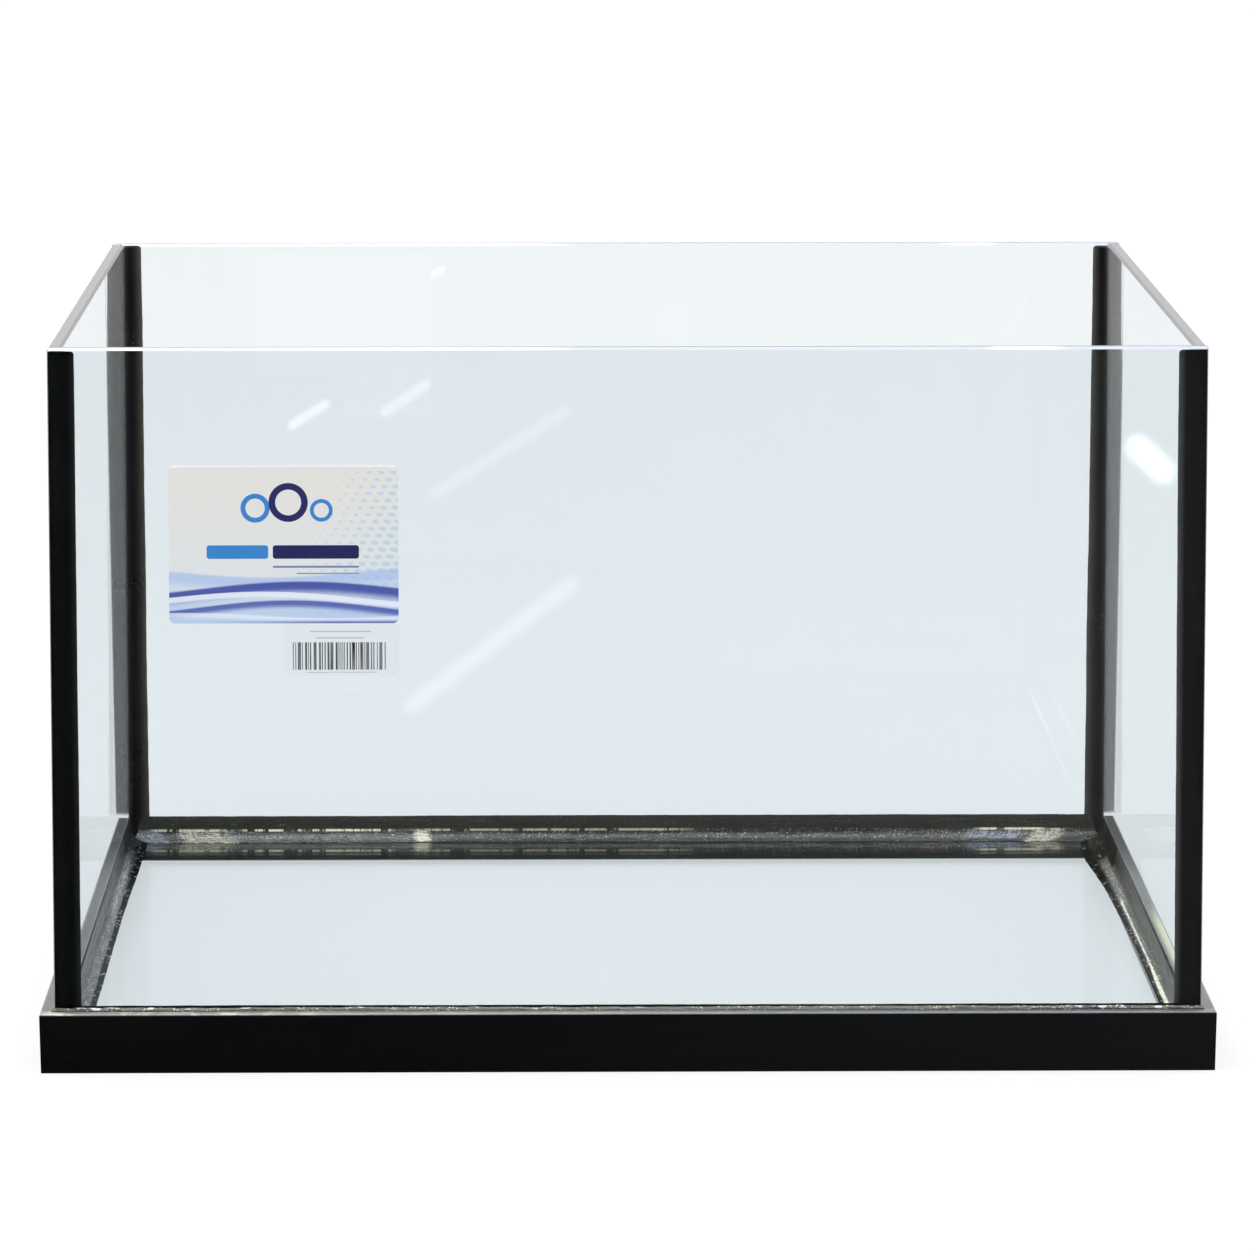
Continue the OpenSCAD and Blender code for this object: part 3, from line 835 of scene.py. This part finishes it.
def upright_bead(node, name, side, face, runs, rubber, seed, soft, higher=0.2 * MM):
    """A hollow bead in an inside corner. side and face are the signs of its X and Y.
    runs is its leg on the front or back pane at the foot and at the top, soft widens the
    feathered rims, and higher is how far it may end above the CAD bead."""
    count, steps = 150, 16
    foot_z, top_z = FLOOR_Z - EMBED, min(RIM_Z - 0.2 * MM, BEAD_TOP + higher)
    rings = []
    for i in range(count + 1):
        climb = 1 - (1 - i / count) ** 1.25     # closer stations at the rounded top
        z = foot_z + (top_z - foot_z) * climb
        k = z / MM
        top = max(0.0, 1 - (top_z - z) / (1.7 * MM))
        scale = 0.80 + 0.20 * math.sqrt(max(0.0, 1 - top * top))
        flare = max(0.0, 1 - (z - FLOOR_Z) / (16 * MM)) ** 2 * 2.0 * MM
        run = runs[0] + (runs[1] - runs[0]) * climb
        run *= 1 + wander(k, seed, (0.035, 0.018, 0, 0), (0.014, 0.13, 3, 0), (0.008, 0.6, 7, 0))
        run = run * scale + flare
        rise = SIDE_LEG * (1 + wander(k, seed, (0.09, 0.015, 11, 0), (0.025, 0.11, 13, 0),
                                      (0.012, 0.5, 17, 0)))
        rise = rise * scale + flare
        hollow = 1.85 + wander(k, seed, (0.18, 0.02, 21, 0))
        rim = (0.22 + wander(k, seed, (0.08, 0.09, 31, 0))) * MM
        sway = wander(k, seed, (2, 0.01, 0, 47))
        surface = []
        for j in range(steps + 1):
            t = j / steps
            lump = wander(k, seed, (0.10, 0.05, t * 3, 41), (0.05, 0.25, t * 6, 43))
            lump += 0.035 * math.sin(t * 23 + sway)
            lump *= MM * math.sin(math.pi * t) * 0.7
            surface.append((rim + (run - rim) * (1 - t) ** hollow + lump,
                            rim + (rise - rim) * t ** hollow + lump,
                            abs(2 * t - 1) ** (6 / soft), t))
        rings.append([(Vector((side * (IN_W - u), face * (IN_D - v), z)), *marks)
                      for u, v, *marks in bead_section(run, rise, 0.05 * MM, surface)])
    stand_for(loft(name, rings, [rubber], BEAD_MARKS, sharp=50), node)


upright_bead("front_left_bead", "front_left_corner_bead", -1, -1, runs=(5.8 * MM, 5.5 * MM),
             rubber=silicone_front_left, seed=3, soft=1.3)
upright_bead("front_right_bead", "front_right_corner_bead", 1, -1, runs=(5.7 * MM, 6.6 * MM),
             rubber=silicone_front_right, seed=8, soft=2.2)
upright_bead("back_left_bead", "back_left_corner_bead", -1, 1, runs=(10.0 * MM, 8.6 * MM),
             rubber=silicone_back_left, seed=14, soft=2.0, higher=1.3 * MM)
upright_bead("back_right_bead", "back_right_corner_bead", 1, 1, runs=(9.6 * MM, 7.2 * MM),
             rubber=silicone_back_right, seed=19, soft=2.0, higher=0.6 * MM)

# ---------------------------------------------------------------- floor beads


def floor_profile(run, rise, rim, hollow, count):
    """A hollow from the floor up to a bulging knee, then a flat strip up the wall.
    Points are (off the wall, off the floor, across)."""
    knee_u, knee_v, knee_at = 1.5 * MM, rise * 0.44, 0.58
    points = []
    for i in range(count + 1):
        t = (i / count) ** 1.3     # closer together where the bead feathers out on the floor
        if t < knee_at:
            q = t / knee_at
            u = knee_u + (run - knee_u) * (1 - q) ** hollow
            v = rim + (knee_v - rim) * q ** hollow
        else:
            q = (t - knee_at) / (1 - knee_at)
            u = knee_u + (rim - knee_u) * q + 0.2 * MM * math.sin(math.pi * q)
            v = knee_v + (rise - knee_v) * q
        bulge = 0.22 * MM * math.exp(-((t - knee_at) / 0.035) ** 2)
        points.append((u + bulge, v, t))
    return points


def floor_bead(node, name, toward, half, dist, run, rise, seed, lumps, rubber, shine):
    """A bead along the foot of one wall, half its length each way. toward is the direction
    from the tank's middle to that wall, dist away. run and rise give its legs along it,
    lumps its unevenness, and shine the last four marks."""
    to_x, to_y = toward
    along_x, along_y = -to_y, to_x
    count = int(2 * half / MM / 1.7)
    rings = []
    for i in range(count + 1):
        g = -1 + 2 * i / count
        k = g * half / MM
        place = (along_x + along_y) * k     # world millimetres along the wall
        ease = min(1.0, (1 - abs(g)) * half / (14 * MM))
        a = run(place) * (1 + ease * wander(k, seed, (0.05, 0.012, 0, 0), (0.02, 0.07, 3, 0),
                                            (0.012, 0.4, 7, 0)))
        b = rise(place) * (1 + ease * wander(k, seed, (0.016, 0.01, 11, 0),
                                             (0.008, 0.08, 13, 0), (0.006, 0.45, 17, 0)))
        hollow = 1.75 + ease * wander(k, seed, (0.12, 0.02, 21, 0))
        rim = (0.34 + ease * wander(k, seed, (0.1, 0.12, 31, 0))) * MM
        sway = wander(k, seed, (3, 0.008, 0, 47))
        surface = []
        for u, v, t in floor_profile(a, b, rim, hollow, count=28):
            lump = wander(k, seed, (0.16, 0.06, t * 3, 41), (0.12, 0.35, t * 9, 43),
                          (0.08, 0.9, t * 16, 44)) + 0.04 * math.sin(t * 27 + sway)
            lump += max(0.0, wander(k, seed, (1, 0.11, t * 4, 53)) - 0.42) * 1.6
            lump *= lumps * MM * math.sin(math.pi * t) ** 0.7 * (0.3 + 0.7 * ease)
            lump *= 0.75 * (0.35 if t > 0.6 else 1.0)
            surface.append((u + lump, v + lump, abs(2 * t - 1) ** 9, t))
        ring = []
        for u, v, feather, t in bead_section(a, b, 0.06 * MM, surface):
            s = g * (half - max(u, 0.0))
            point = Vector((to_x * (dist - u) + along_x * s, to_y * (dist - u) + along_y * s,
                            FLOOR_Z + v))
            ring.append((point, feather, t, k, *shine(place, t)))
        rings.append(ring)
    stand_for(loft(name, rings, [rubber], FLOOR_MARKS, sharp=55), node)


def taper(leg, *shares):
    """A leg that changes along a wall. shares are (world millimetre, share of the leg)."""
    def at(place):
        if place <= shares[0][0]:
            return leg * shares[0][1]
        for (x0, share0), (x1, share1) in zip(shares, shares[1:]):
            if place <= x1:
                return leg * (share0 + (share1 - share0) * (place - x0) / (x1 - x0))
        return leg * shares[-1][1]
    return at


def hill(x, low, high, soft=3.0):
    """1 between low and high, falling to 0 over soft outside them."""
    return max(0.0, min(1.0, (x - low) / soft + 1, (high - x) / soft + 1))


# Each shine gives the painted warm light, the painted cool light, the ridge where painted
# highlight dashes go, and dull, where the bead is darker and without sheen, at a world millimetre
# along the wall and a share across the bead, 0 on the floor and 1 up the wall.


def shine_back(x, t):
    gap = 1 - hill(x, -233, -227) * hill(t, 0.2, 0.57, 0.1)
    painted_warm_light = (0.85 * hill(x, -226, -203, 8) * gap
            + 1.5 * hill(x, -103, -97, 2.5) * hill(t, 0.12, 0.52, 0.1)
            + 1.1 * hill(x, 216, 228, 4)
            + 0.28 * hill(x, -200, -110, 20) * hill(t, 0.0, 0.25, 0.12)
            + 0.10 * hill(x, 150, 210, 20))
    painted_cool_light = (hill(x, -246, -236)
            + 0.9 * hill(x, 183, 206, 6) * hill(t, 0.22, 0.5, 0.08)
            + 0.22 * hill(x, -196, -110, 15) * hill(t, 0.2, 0.5, 0.1))
    ridge = (hill(x, -188, -118, 6) + 0.6 * hill(x, -236, -200, 4)
             + 0.45 * hill(x, -92, 25, 20) + 0.9 * hill(x, 188, 216, 5))
    low = 1.0 if t < 0.57 else 0.0
    return painted_warm_light * low, painted_cool_light * low, min(1.0, ridge), 0.15 * hill(x, -60, 180, 30)


def shine_right(y, t):
    swell = 0.05 * hill(y, -250, -150, 60)
    wide, middle = 0.012 + swell, 0.20 - swell
    # the painted warm highlight: a streak along the bead and a weaker wedge further back
    streak = hill(t, middle - wide, middle + wide, 0.03) * hill(y, -235, 60, 14)
    wedge = 0.45 * hill(t, 0.22, 0.34, 0.06) * hill(y, 60, 165, 20)
    dull = (0.97 * hill(y, 162, 256, 90)
            + 0.35 * hill(y, 40, 165, 60) * (1.0 if t < 0.18 else 0.4))
    return streak * 2.0 + wedge, 0.0, 0.0, min(1.0, dull) * (1 - 0.8 * min(1.0, streak + wedge))


def shine_left(y, t):
    painted_warm_light = 0.16 * hill(t, 0.25, 0.5, 0.1) * hill(y, 60, 170, 40)
    painted_cool_light = 0.42 * hill(t, 0.25, 0.45, 0.12) * hill(y, 60, 175, 40)
    dull = 0.97 * hill(y, 188, 256, 90) + 0.5 * hill(y, 90, 195, 40) * hill(t, 0.0, 0.2, 0.08)
    return painted_warm_light, painted_cool_light, 0.0, min(1.0, dull)


def shine_front(x, t):
    return 0.0, 0.0, 0.0, 0.0


floor_bead("bottom_front_bead", "front_floor_bead", (0, -1), IN_W, IN_D,
           run=taper(FLOOR_RUN, (0, 0.92)), rise=taper(FLOOR_RISE, (0, 1.0)),
           seed=23, lumps=0.5, rubber=silicone_front, shine=shine_front)
floor_bead("bottom_back_bead", "back_floor_bead", (0, 1), IN_W, IN_D,
           run=taper(FLOOR_RUN, (222, 0.92), (246, 1.30)), rise=taper(FLOOR_RISE, (0, 1.09)),
           seed=29, lumps=0.8, rubber=silicone_back, shine=shine_back)
floor_bead("bottom_left_bead", "left_floor_bead", (-1, 0), IN_D, IN_W,
           run=taper(FLOOR_RUN, (-246, 0.97), (-190, 0.94), (25, 0.88), (190, 0.99),
                     (246, 1.02)),
           rise=taper(FLOOR_RISE, (-246, 0.86), (0, 0.93), (200, 0.98)),
           seed=31, lumps=0.35, rubber=silicone_left, shine=shine_left)
floor_bead("bottom_right_bead", "right_floor_bead", (1, 0), IN_D, IN_W,
           run=taper(FLOOR_RUN, (-246, 0.66), (-190, 0.68), (25, 0.86), (106, 1.07),
                     (190, 1.42), (215, 1.40), (246, 1.30)),
           rise=taper(FLOOR_RISE, (-246, 0.80), (-100, 0.86), (60, 0.98)),
           seed=37, lumps=0.35, rubber=silicone_right, shine=shine_right)

# ---------------------------------------------------------------- seams and sealing bead


def corner_seam(node, name, side, face, seed):
    """The glue line in an upright corner: a narrow black line on the outside that fills the
    ground edges. side and face are the signs of its X and Y."""
    count = 120
    flare, inset = 0.4 * MM, 0.3 * MM
    outer, inner = IN_D + EMBED, SIDE_D - EMBED
    rings = []
    for i in range(count + 1):
        z = WALL_Z + (BEAD_TOP - WALL_Z) * i / count
        top = max(0.0, 1 - (BEAD_TOP - z) / (1.2 * MM))
        dent = (0.12 + wander(z / MM, seed, (0.10, 0.06, 0, 0), (0.05, 0.5, 5, 0))) * MM
        dent += top * top * 0.5 * MM
        outline = ((HALF_W - dent * 0.6, outer + flare * 0.9), (HALF_W - flare, outer),
                   (IN_W + inset, outer), (IN_W, outer), (IN_W, inner - 0.2 * MM),
                   (IN_W + inset, inner), (HALF_W - flare, inner),
                   (HALF_W - dent * 0.6, inner - flare * 0.9),
                   (HALF_W - dent, (outer + inner) / 2))
        rings.append([(Vector((side * x, face * y, z)), 0.0, j / len(outline))
                      for j, (x, y) in enumerate(outline)])
    stand_for(loft(name, rings, [silicone_joint], BEAD_MARKS, sharp=50), node)


corner_seam("front_left_seam", "front_left_glue_line", -1, -1, seed=41)
corner_seam("front_right_seam", "front_right_glue_line", 1, -1, seed=43)
corner_seam("back_left_seam", "back_left_glue_line", -1, 1, seed=47)
corner_seam("back_right_seam", "back_right_glue_line", 1, 1, seed=53)


def sealing_bead():
    """One untooled run of silicone round the outside, from the glass onto the lip. It is
    lumpiest along the front."""
    # direction out of the tank, half length, distance from the middle, unevenness, seed
    sides = ((0, -1, HALF_W, HALF_D, 1.0, 61), (1, 0, HALF_D, HALF_W, 0.45, 62),
             (0, 1, HALF_W, HALF_D, 0.7, 63), (-1, 0, HALF_D, HALF_W, 0.45, 64))
    steps = 9
    rings = []
    for to_x, to_y, half, dist, rough, seed in sides:
        along_x, along_y = -to_y, to_x
        count = int(2 * half / MM / 1.6)
        for i in range(count):
            g = -1 + 2 * i / count
            k = g * half / MM
            uneven = min(1.0, (1 - abs(g)) * half / (5 * MM)) * rough
            rise = (SEAL_TOP - LIP_Z) * (0.98 + uneven * wander(
                k, seed, (0.12, 0.03, 0, 0), (0.16, 0.22, 3, 0), (0.10, 0.9, 5, 0)))
            run = 1.35 * MM * (1.0 + uneven * wander(
                k, seed, (0.18, 0.025, 9, 0), (0.2, 0.2, 11, 0), (0.12, 0.8, 13, 0)))
            section = [(-EMBED, LEDGE_Z, 0.0), (-EMBED, LIP_Z + rise, 0.0)]
            for j in range(1, steps):
                t = j / steps
                turn = t * math.pi / 2
                bulge = 0.62 + wander(k, seed, (0.3, 0.15, t * 3, 21)) * rough
                out = run * ((1 - bulge) * t + bulge * math.sin(turn))
                up = rise * ((1 - bulge) * (1 - t) + bulge * math.cos(turn))
                lump = wander(k, seed, (0.16, 0.5, t * 5, 31), (0.10, 1.3, t * 9, 33))
                lump *= MM * rough * math.sin(math.pi * t)
                section.append((out + lump, LIP_Z + up + lump, t))
            section += [(run, LIP_Z - EMBED, 1.0), (GAP, LIP_Z - EMBED, 1.0),
                        (GAP, LEDGE_Z, 1.0)]
            ring = []
            for out, z, t in section:
                s = g * (half + out)
                point = Vector((to_x * (dist + out) + along_x * s,
                                to_y * (dist + out) + along_y * s, z))
                ring.append((point, 0.0, t))
            rings.append(ring)
    ob = loft("lip_sealing_bead", rings, [silicone_seal], BEAD_MARKS, sharp=55, closed=True)
    stand_for(ob, "frame_sealing_bead")


sealing_bead()

# CAD pieces that keep their shape and only get a material
for node, material in (("bottom_front_seam", silicone_joint), ("bottom_back_seam", silicone_joint),
                       ("bottom_left_seam", silicone_joint),
                       ("bottom_right_seam", silicone_joint), ("base_frame", plastic)):
    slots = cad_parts[node].data.materials
    slots.clear()
    slots.append(material)

# ---------------------------------------------------------------- stickers


def sticker(node, name, box, paper, seed, lift, creases=()):
    """Paper on the front pane with die cut corners. Its top edge lifts by about lift
    millimetres. creases are (place, half width, height, lean) at the top, in millimetres."""
    low, high = box
    width, height = high.x - low.x, high.z - low.z
    columns, rows = 96, 68
    glued, prints = [], []
    for j in range(rows + 1):
        v = height * j / rows
        down = height - v
        short = max(0.0, CORNER_R - min(v, down))
        cut = CORNER_R - math.sqrt(max(0.0, CORNER_R ** 2 - short ** 2))
        near_top = max(0.0, 1 - down / (4.5 * MM))
        for i in range(columns + 1):
            u = cut + (width - 2 * cut) * i / columns
            print_x, print_y = u / MM, v / MM
            out = 0.02 + 0.03 * (1 + wander(print_x, seed, (1, 0.05, print_y * 0.05, 0)))
            out += lift * near_top ** 2 * (0.55 + wander(print_x, seed, (0.45, 0.07, 3, 0)))
            for place, half, tall, lean in creases:
                off = (print_x - place - lean * down / MM) / half
                fall = max(0.0, 1 - down / (tall * MM))
                out += 0.28 * math.exp(-off * off) * fall ** 0.7
            glued.append(Vector((low.x + u, -HALF_D - out * MM, low.z + v)))
            prints.append((print_x, print_y))
    printed = [point + Vector((0, -PAPER, 0)) for point in glued]

    def at(i, j):
        return j * (columns + 1) + i

    back = len(glued)
    faces = []
    for j in range(rows):
        for i in range(columns):
            a, b, c, d = at(i, j), at(i + 1, j), at(i + 1, j + 1), at(i, j + 1)
            faces.append((a, b, c, d))
            faces.append((back + a, back + d, back + c, back + b))
    rim = ([at(i, 0) for i in range(columns)]
           + [at(columns, j) for j in range(rows)]
           + [at(i, rows) for i in range(columns, 0, -1)]
           + [at(0, j) for j in range(rows, 0, -1)])
    for a, b in zip(rim, rim[1:] + rim[:1]):
        faces.append((a, back + a, back + b, b))
    ob = mesh_object(name, printed + glued, faces, [paper, paper_back], sharp=50,
                     pick=lambda face: 0 if face.normal.y < 0.3 else 1, prints=prints * 2)
    stand_for(ob, node)


sticker("product_sticker", "front_product_label", product_box, product_paper,
        seed=71, lift=0.25, creases=((37.0, 0.7, 3.0, 0.0), (66.0, 0.9, 9.0, 0.28)))
sticker("barcode_sticker", "front_barcode_label", code_box, code_paper,
        seed=73, lift=0.12)

# ---------------------------------------------------------------- stage
# Bright-field studio: the backdrop is white as seen from wherever the camera stands, and the
# camera's side is dark, so clear glass keeps dark edges and black parts stay black.

ROOM = (0.016, 0.022, 0.025)      # what the camera's side of the studio reflects
FLOOR_LIT = 0.76                  # the floor's own glow, which shadows don't reach
FLOOR_PAINT = 0.27
CEILING = 7.0                     # brightness of the soft box overhead
DISC_RADII = (0.6, 1.2, 2.5, 5.0, 10.0, 20.0, 60.0)


def mirrored_view(x, y, centre_x, centre_y, flip_x, flip_y):
    """Where a floor point lies across and down in the view of the camera's mirror image at
    the centre, in thousandths of the focal length."""
    away_x = (x - centre_x) * flip_x
    away_y = (y - centre_y) * flip_y
    side = away_x * math.cos(YAW) - away_y * math.sin(YAW)
    reach = away_x * math.sin(YAW) + away_y * math.cos(YAW)
    drop = CAMERA_AT.z
    depth = (reach * math.cos(PITCH) + drop * math.sin(PITCH)).math("MAXIMUM", 0.1)
    down = drop * math.cos(PITCH) - reach * math.sin(PITCH)
    return side / depth * 1000.0, down / depth * 1000.0


def slim_lamp(view, start, end, wide, soft, power):
    """A glowing line from start to end, in thousandths of the focal length."""
    dx, dy = end[0] - start[0], end[1] - start[1]
    x, y = view[0] - start[0], view[1] - start[1]
    t = (x * dx + y * dy).math("DIVIDE", dx * dx + dy * dy, clamp=True)
    return length(x - t * dx, y - t * dy).step(wide + soft, wide) * power


def make_floor_paint():
    net = material_net("studio_floor_paint")
    pos = net.coords()
    x, y, _ = net.separate(pos)
    glossy_depth = net.node("LightPath", output="Glossy Depth")
    _, _, seen_z = net.seen_by_camera(net.node("NewGeometry", output="Incoming"))
    toward = seen_z.step(-0.05, -0.45)
    mirrored = glossy_depth.math("MINIMUM", 1.0) * (1.0 - toward)
    tone = net.mix(net.noise(pos, 3.0, detail=2.0), (FLOOR_PAINT * 0.99,) * 3,
                   (FLOOR_PAINT * 1.01,) * 3)
    tone = net.mix(mirrored, tone, (0.004, 0.005, 0.006))
    dim = net.mix(x.step(-0.25, 0.45), (0.015, 0.022, 0.026), (0.20, 0.20, 0.195))
    paint = net.node("BsdfDiffuse", {"Color": tone})
    glow = net.node("Emission", {"Color": net.mix(mirrored, WHITE, dim), "Strength": FLOOR_LIT})

    # Lamps only mirrors see: three in front of the tank for its front pane, and one behind
    # it for its right pane.
    front = mirrored_view(x, y, CAMERA_AT.x, -2 * HALF_D - CAMERA_AT.y, 1.0, -1.0)
    right = mirrored_view(x, y, 2 * IN_W - CAMERA_AT.x, CAMERA_AT.y, -1.0, 1.0)
    first = slim_lamp(front, (-45.0, -27.0), (-40.6, -29.8), wide=0.15, soft=0.95, power=2.0)
    second = slim_lamp(front, (-32.4, -28.8), (-27.0, -32.4), wide=0.2, soft=1.0, power=1.35)
    third = slim_lamp(front, (-28.8, 11.0), (-7.4, -5.4), wide=0.3, soft=1.6, power=0.95)
    near = (first + (second + third)) * (1.0 - toward)
    far = slim_lamp(right, (69.4, -24.0), (72.7, -20.9), wide=0.3, soft=2.3, power=3.2) * toward
    tubes = net.node("Emission", {"Color": (0.98, 1.0, 0.96),
                                  "Strength": (near + far) * glossy_depth.math("MINIMUM", 1.0)})
    lit = net.node("AddShader", {0: paint, 1: glow})
    return net.finish(net.node("AddShader", {0: lit, 1: tubes}))


def studio_floor():
    """A disc of concentric rings round the tank's foot."""
    mesh = bpy.data.meshes.new("studio_floor")
    disc = bmesh.new()
    centre = disc.verts.new((0, 0, 0))
    sides = 96
    angles = [2 * math.pi * i / sides for i in range(sides)]
    last = None
    for radius in DISC_RADII:
        ring = [disc.verts.new((radius * math.cos(a), radius * math.sin(a), 0)) for a in angles]
        for i in range(sides):
            k = (i + 1) % sides
            if last:
                disc.faces.new((last[i], ring[i], ring[k], last[k]))
            else:
                disc.faces.new((centre, ring[i], ring[k]))
        last = ring
    disc.to_mesh(mesh)
    disc.free()
    mesh.materials.append(make_floor_paint())
    add_object("studio_floor", mesh)


def studio_world():
    """White all round, except that mirrors see the dark room and the soft box."""
    world = bpy.data.worlds.new("studio_world")
    bpy.context.scene.world = world
    net = Net(world, "OutputWorld")
    world.cycles.sampling_method = "NONE"
    glossy, diffuse = net.node("LightPath", output=("Glossy Depth", "Diffuse Depth"))
    direction = net.coords("Generated")
    _, seen_y, ahead = net.seen_by_camera(direction)
    _, _, high = net.separate(direction)
    mirrored = glossy.math("MINIMUM", 1.0)
    scattered = diffuse.math("MINIMUM", 1.0)
    backdrop = ahead.step(0.05, 0.45) * high.step(0.95, 0.55)
    room = net.mix(seen_y.step(0.50, 0.92), ROOM, (CEILING, CEILING, CEILING * 0.98))
    studio = net.mix(backdrop, room, WHITE)
    sky = net.mix(mirrored * (1.0 - scattered), WHITE, studio)
    net.finish(net.node("Background", {"Color": sky, "Strength": 1.0}))


def area_light(name, at, to, size, watts, colour):
    light = bpy.data.lights.new(name, "AREA")
    light.shape = "RECTANGLE"
    light.size, light.size_y = size
    light.energy = watts
    light.color = colour
    ob = add_object(name, light)
    ob.location = at
    ob.rotation_euler = (Vector(to) - Vector(at)).to_track_quat("-Z", "Y").to_euler()
    ob.visible_camera = False


def photo_camera():
    data = bpy.data.cameras.new("photo_camera")
    camera = add_object("photo_camera", data)
    data.sensor_width = SENSOR
    data.lens = LENS
    data.clip_start = 0.05
    data.clip_end = 200.0
    forward = Vector((math.sin(YAW) * math.cos(PITCH), math.cos(YAW) * math.cos(PITCH),
                      -math.sin(PITCH)))
    level = Vector((math.cos(YAW), -math.sin(YAW), 0.0))
    upward = level.cross(forward)
    right = level * math.cos(ROLL) + upward * math.sin(ROLL)
    up = upward * math.cos(ROLL) - level * math.sin(ROLL)
    matrix = Matrix((right, up, -forward)).transposed().to_4x4()
    matrix.translation = CAMERA_AT
    camera.matrix_world = matrix
    bpy.context.scene.camera = camera


studio_floor()
studio_world()
area_light("key_overhead_left", at=(-0.75, -0.1, 2.3), to=(-0.3, 0.0, 0.1), size=(1.3, 0.9),
           watts=12.0, colour=(1.0, 0.98, 0.95))
area_light("strip_overhead_right", at=(0.62, 0.3, 2.4), to=(0.3, 0.0, 0.1), size=(0.22, 0.9),
           watts=4.0, colour=(0.94, 0.97, 1.0))
photo_camera()

view = bpy.context.scene.view_settings
view.view_transform = "Standard"
view.look = "None"
view.exposure = 0.0
view.gamma = 1.0
cycles = bpy.context.scene.cycles
cycles.max_bounces = 24
cycles.transmission_bounces = 20
cycles.transparent_max_bounces = 16
cycles.glossy_bounces = 6
cycles.diffuse_bounces = 4
cycles.caustics_reflective = False
cycles.caustics_refractive = True
cycles.sample_clamp_indirect = 6.0
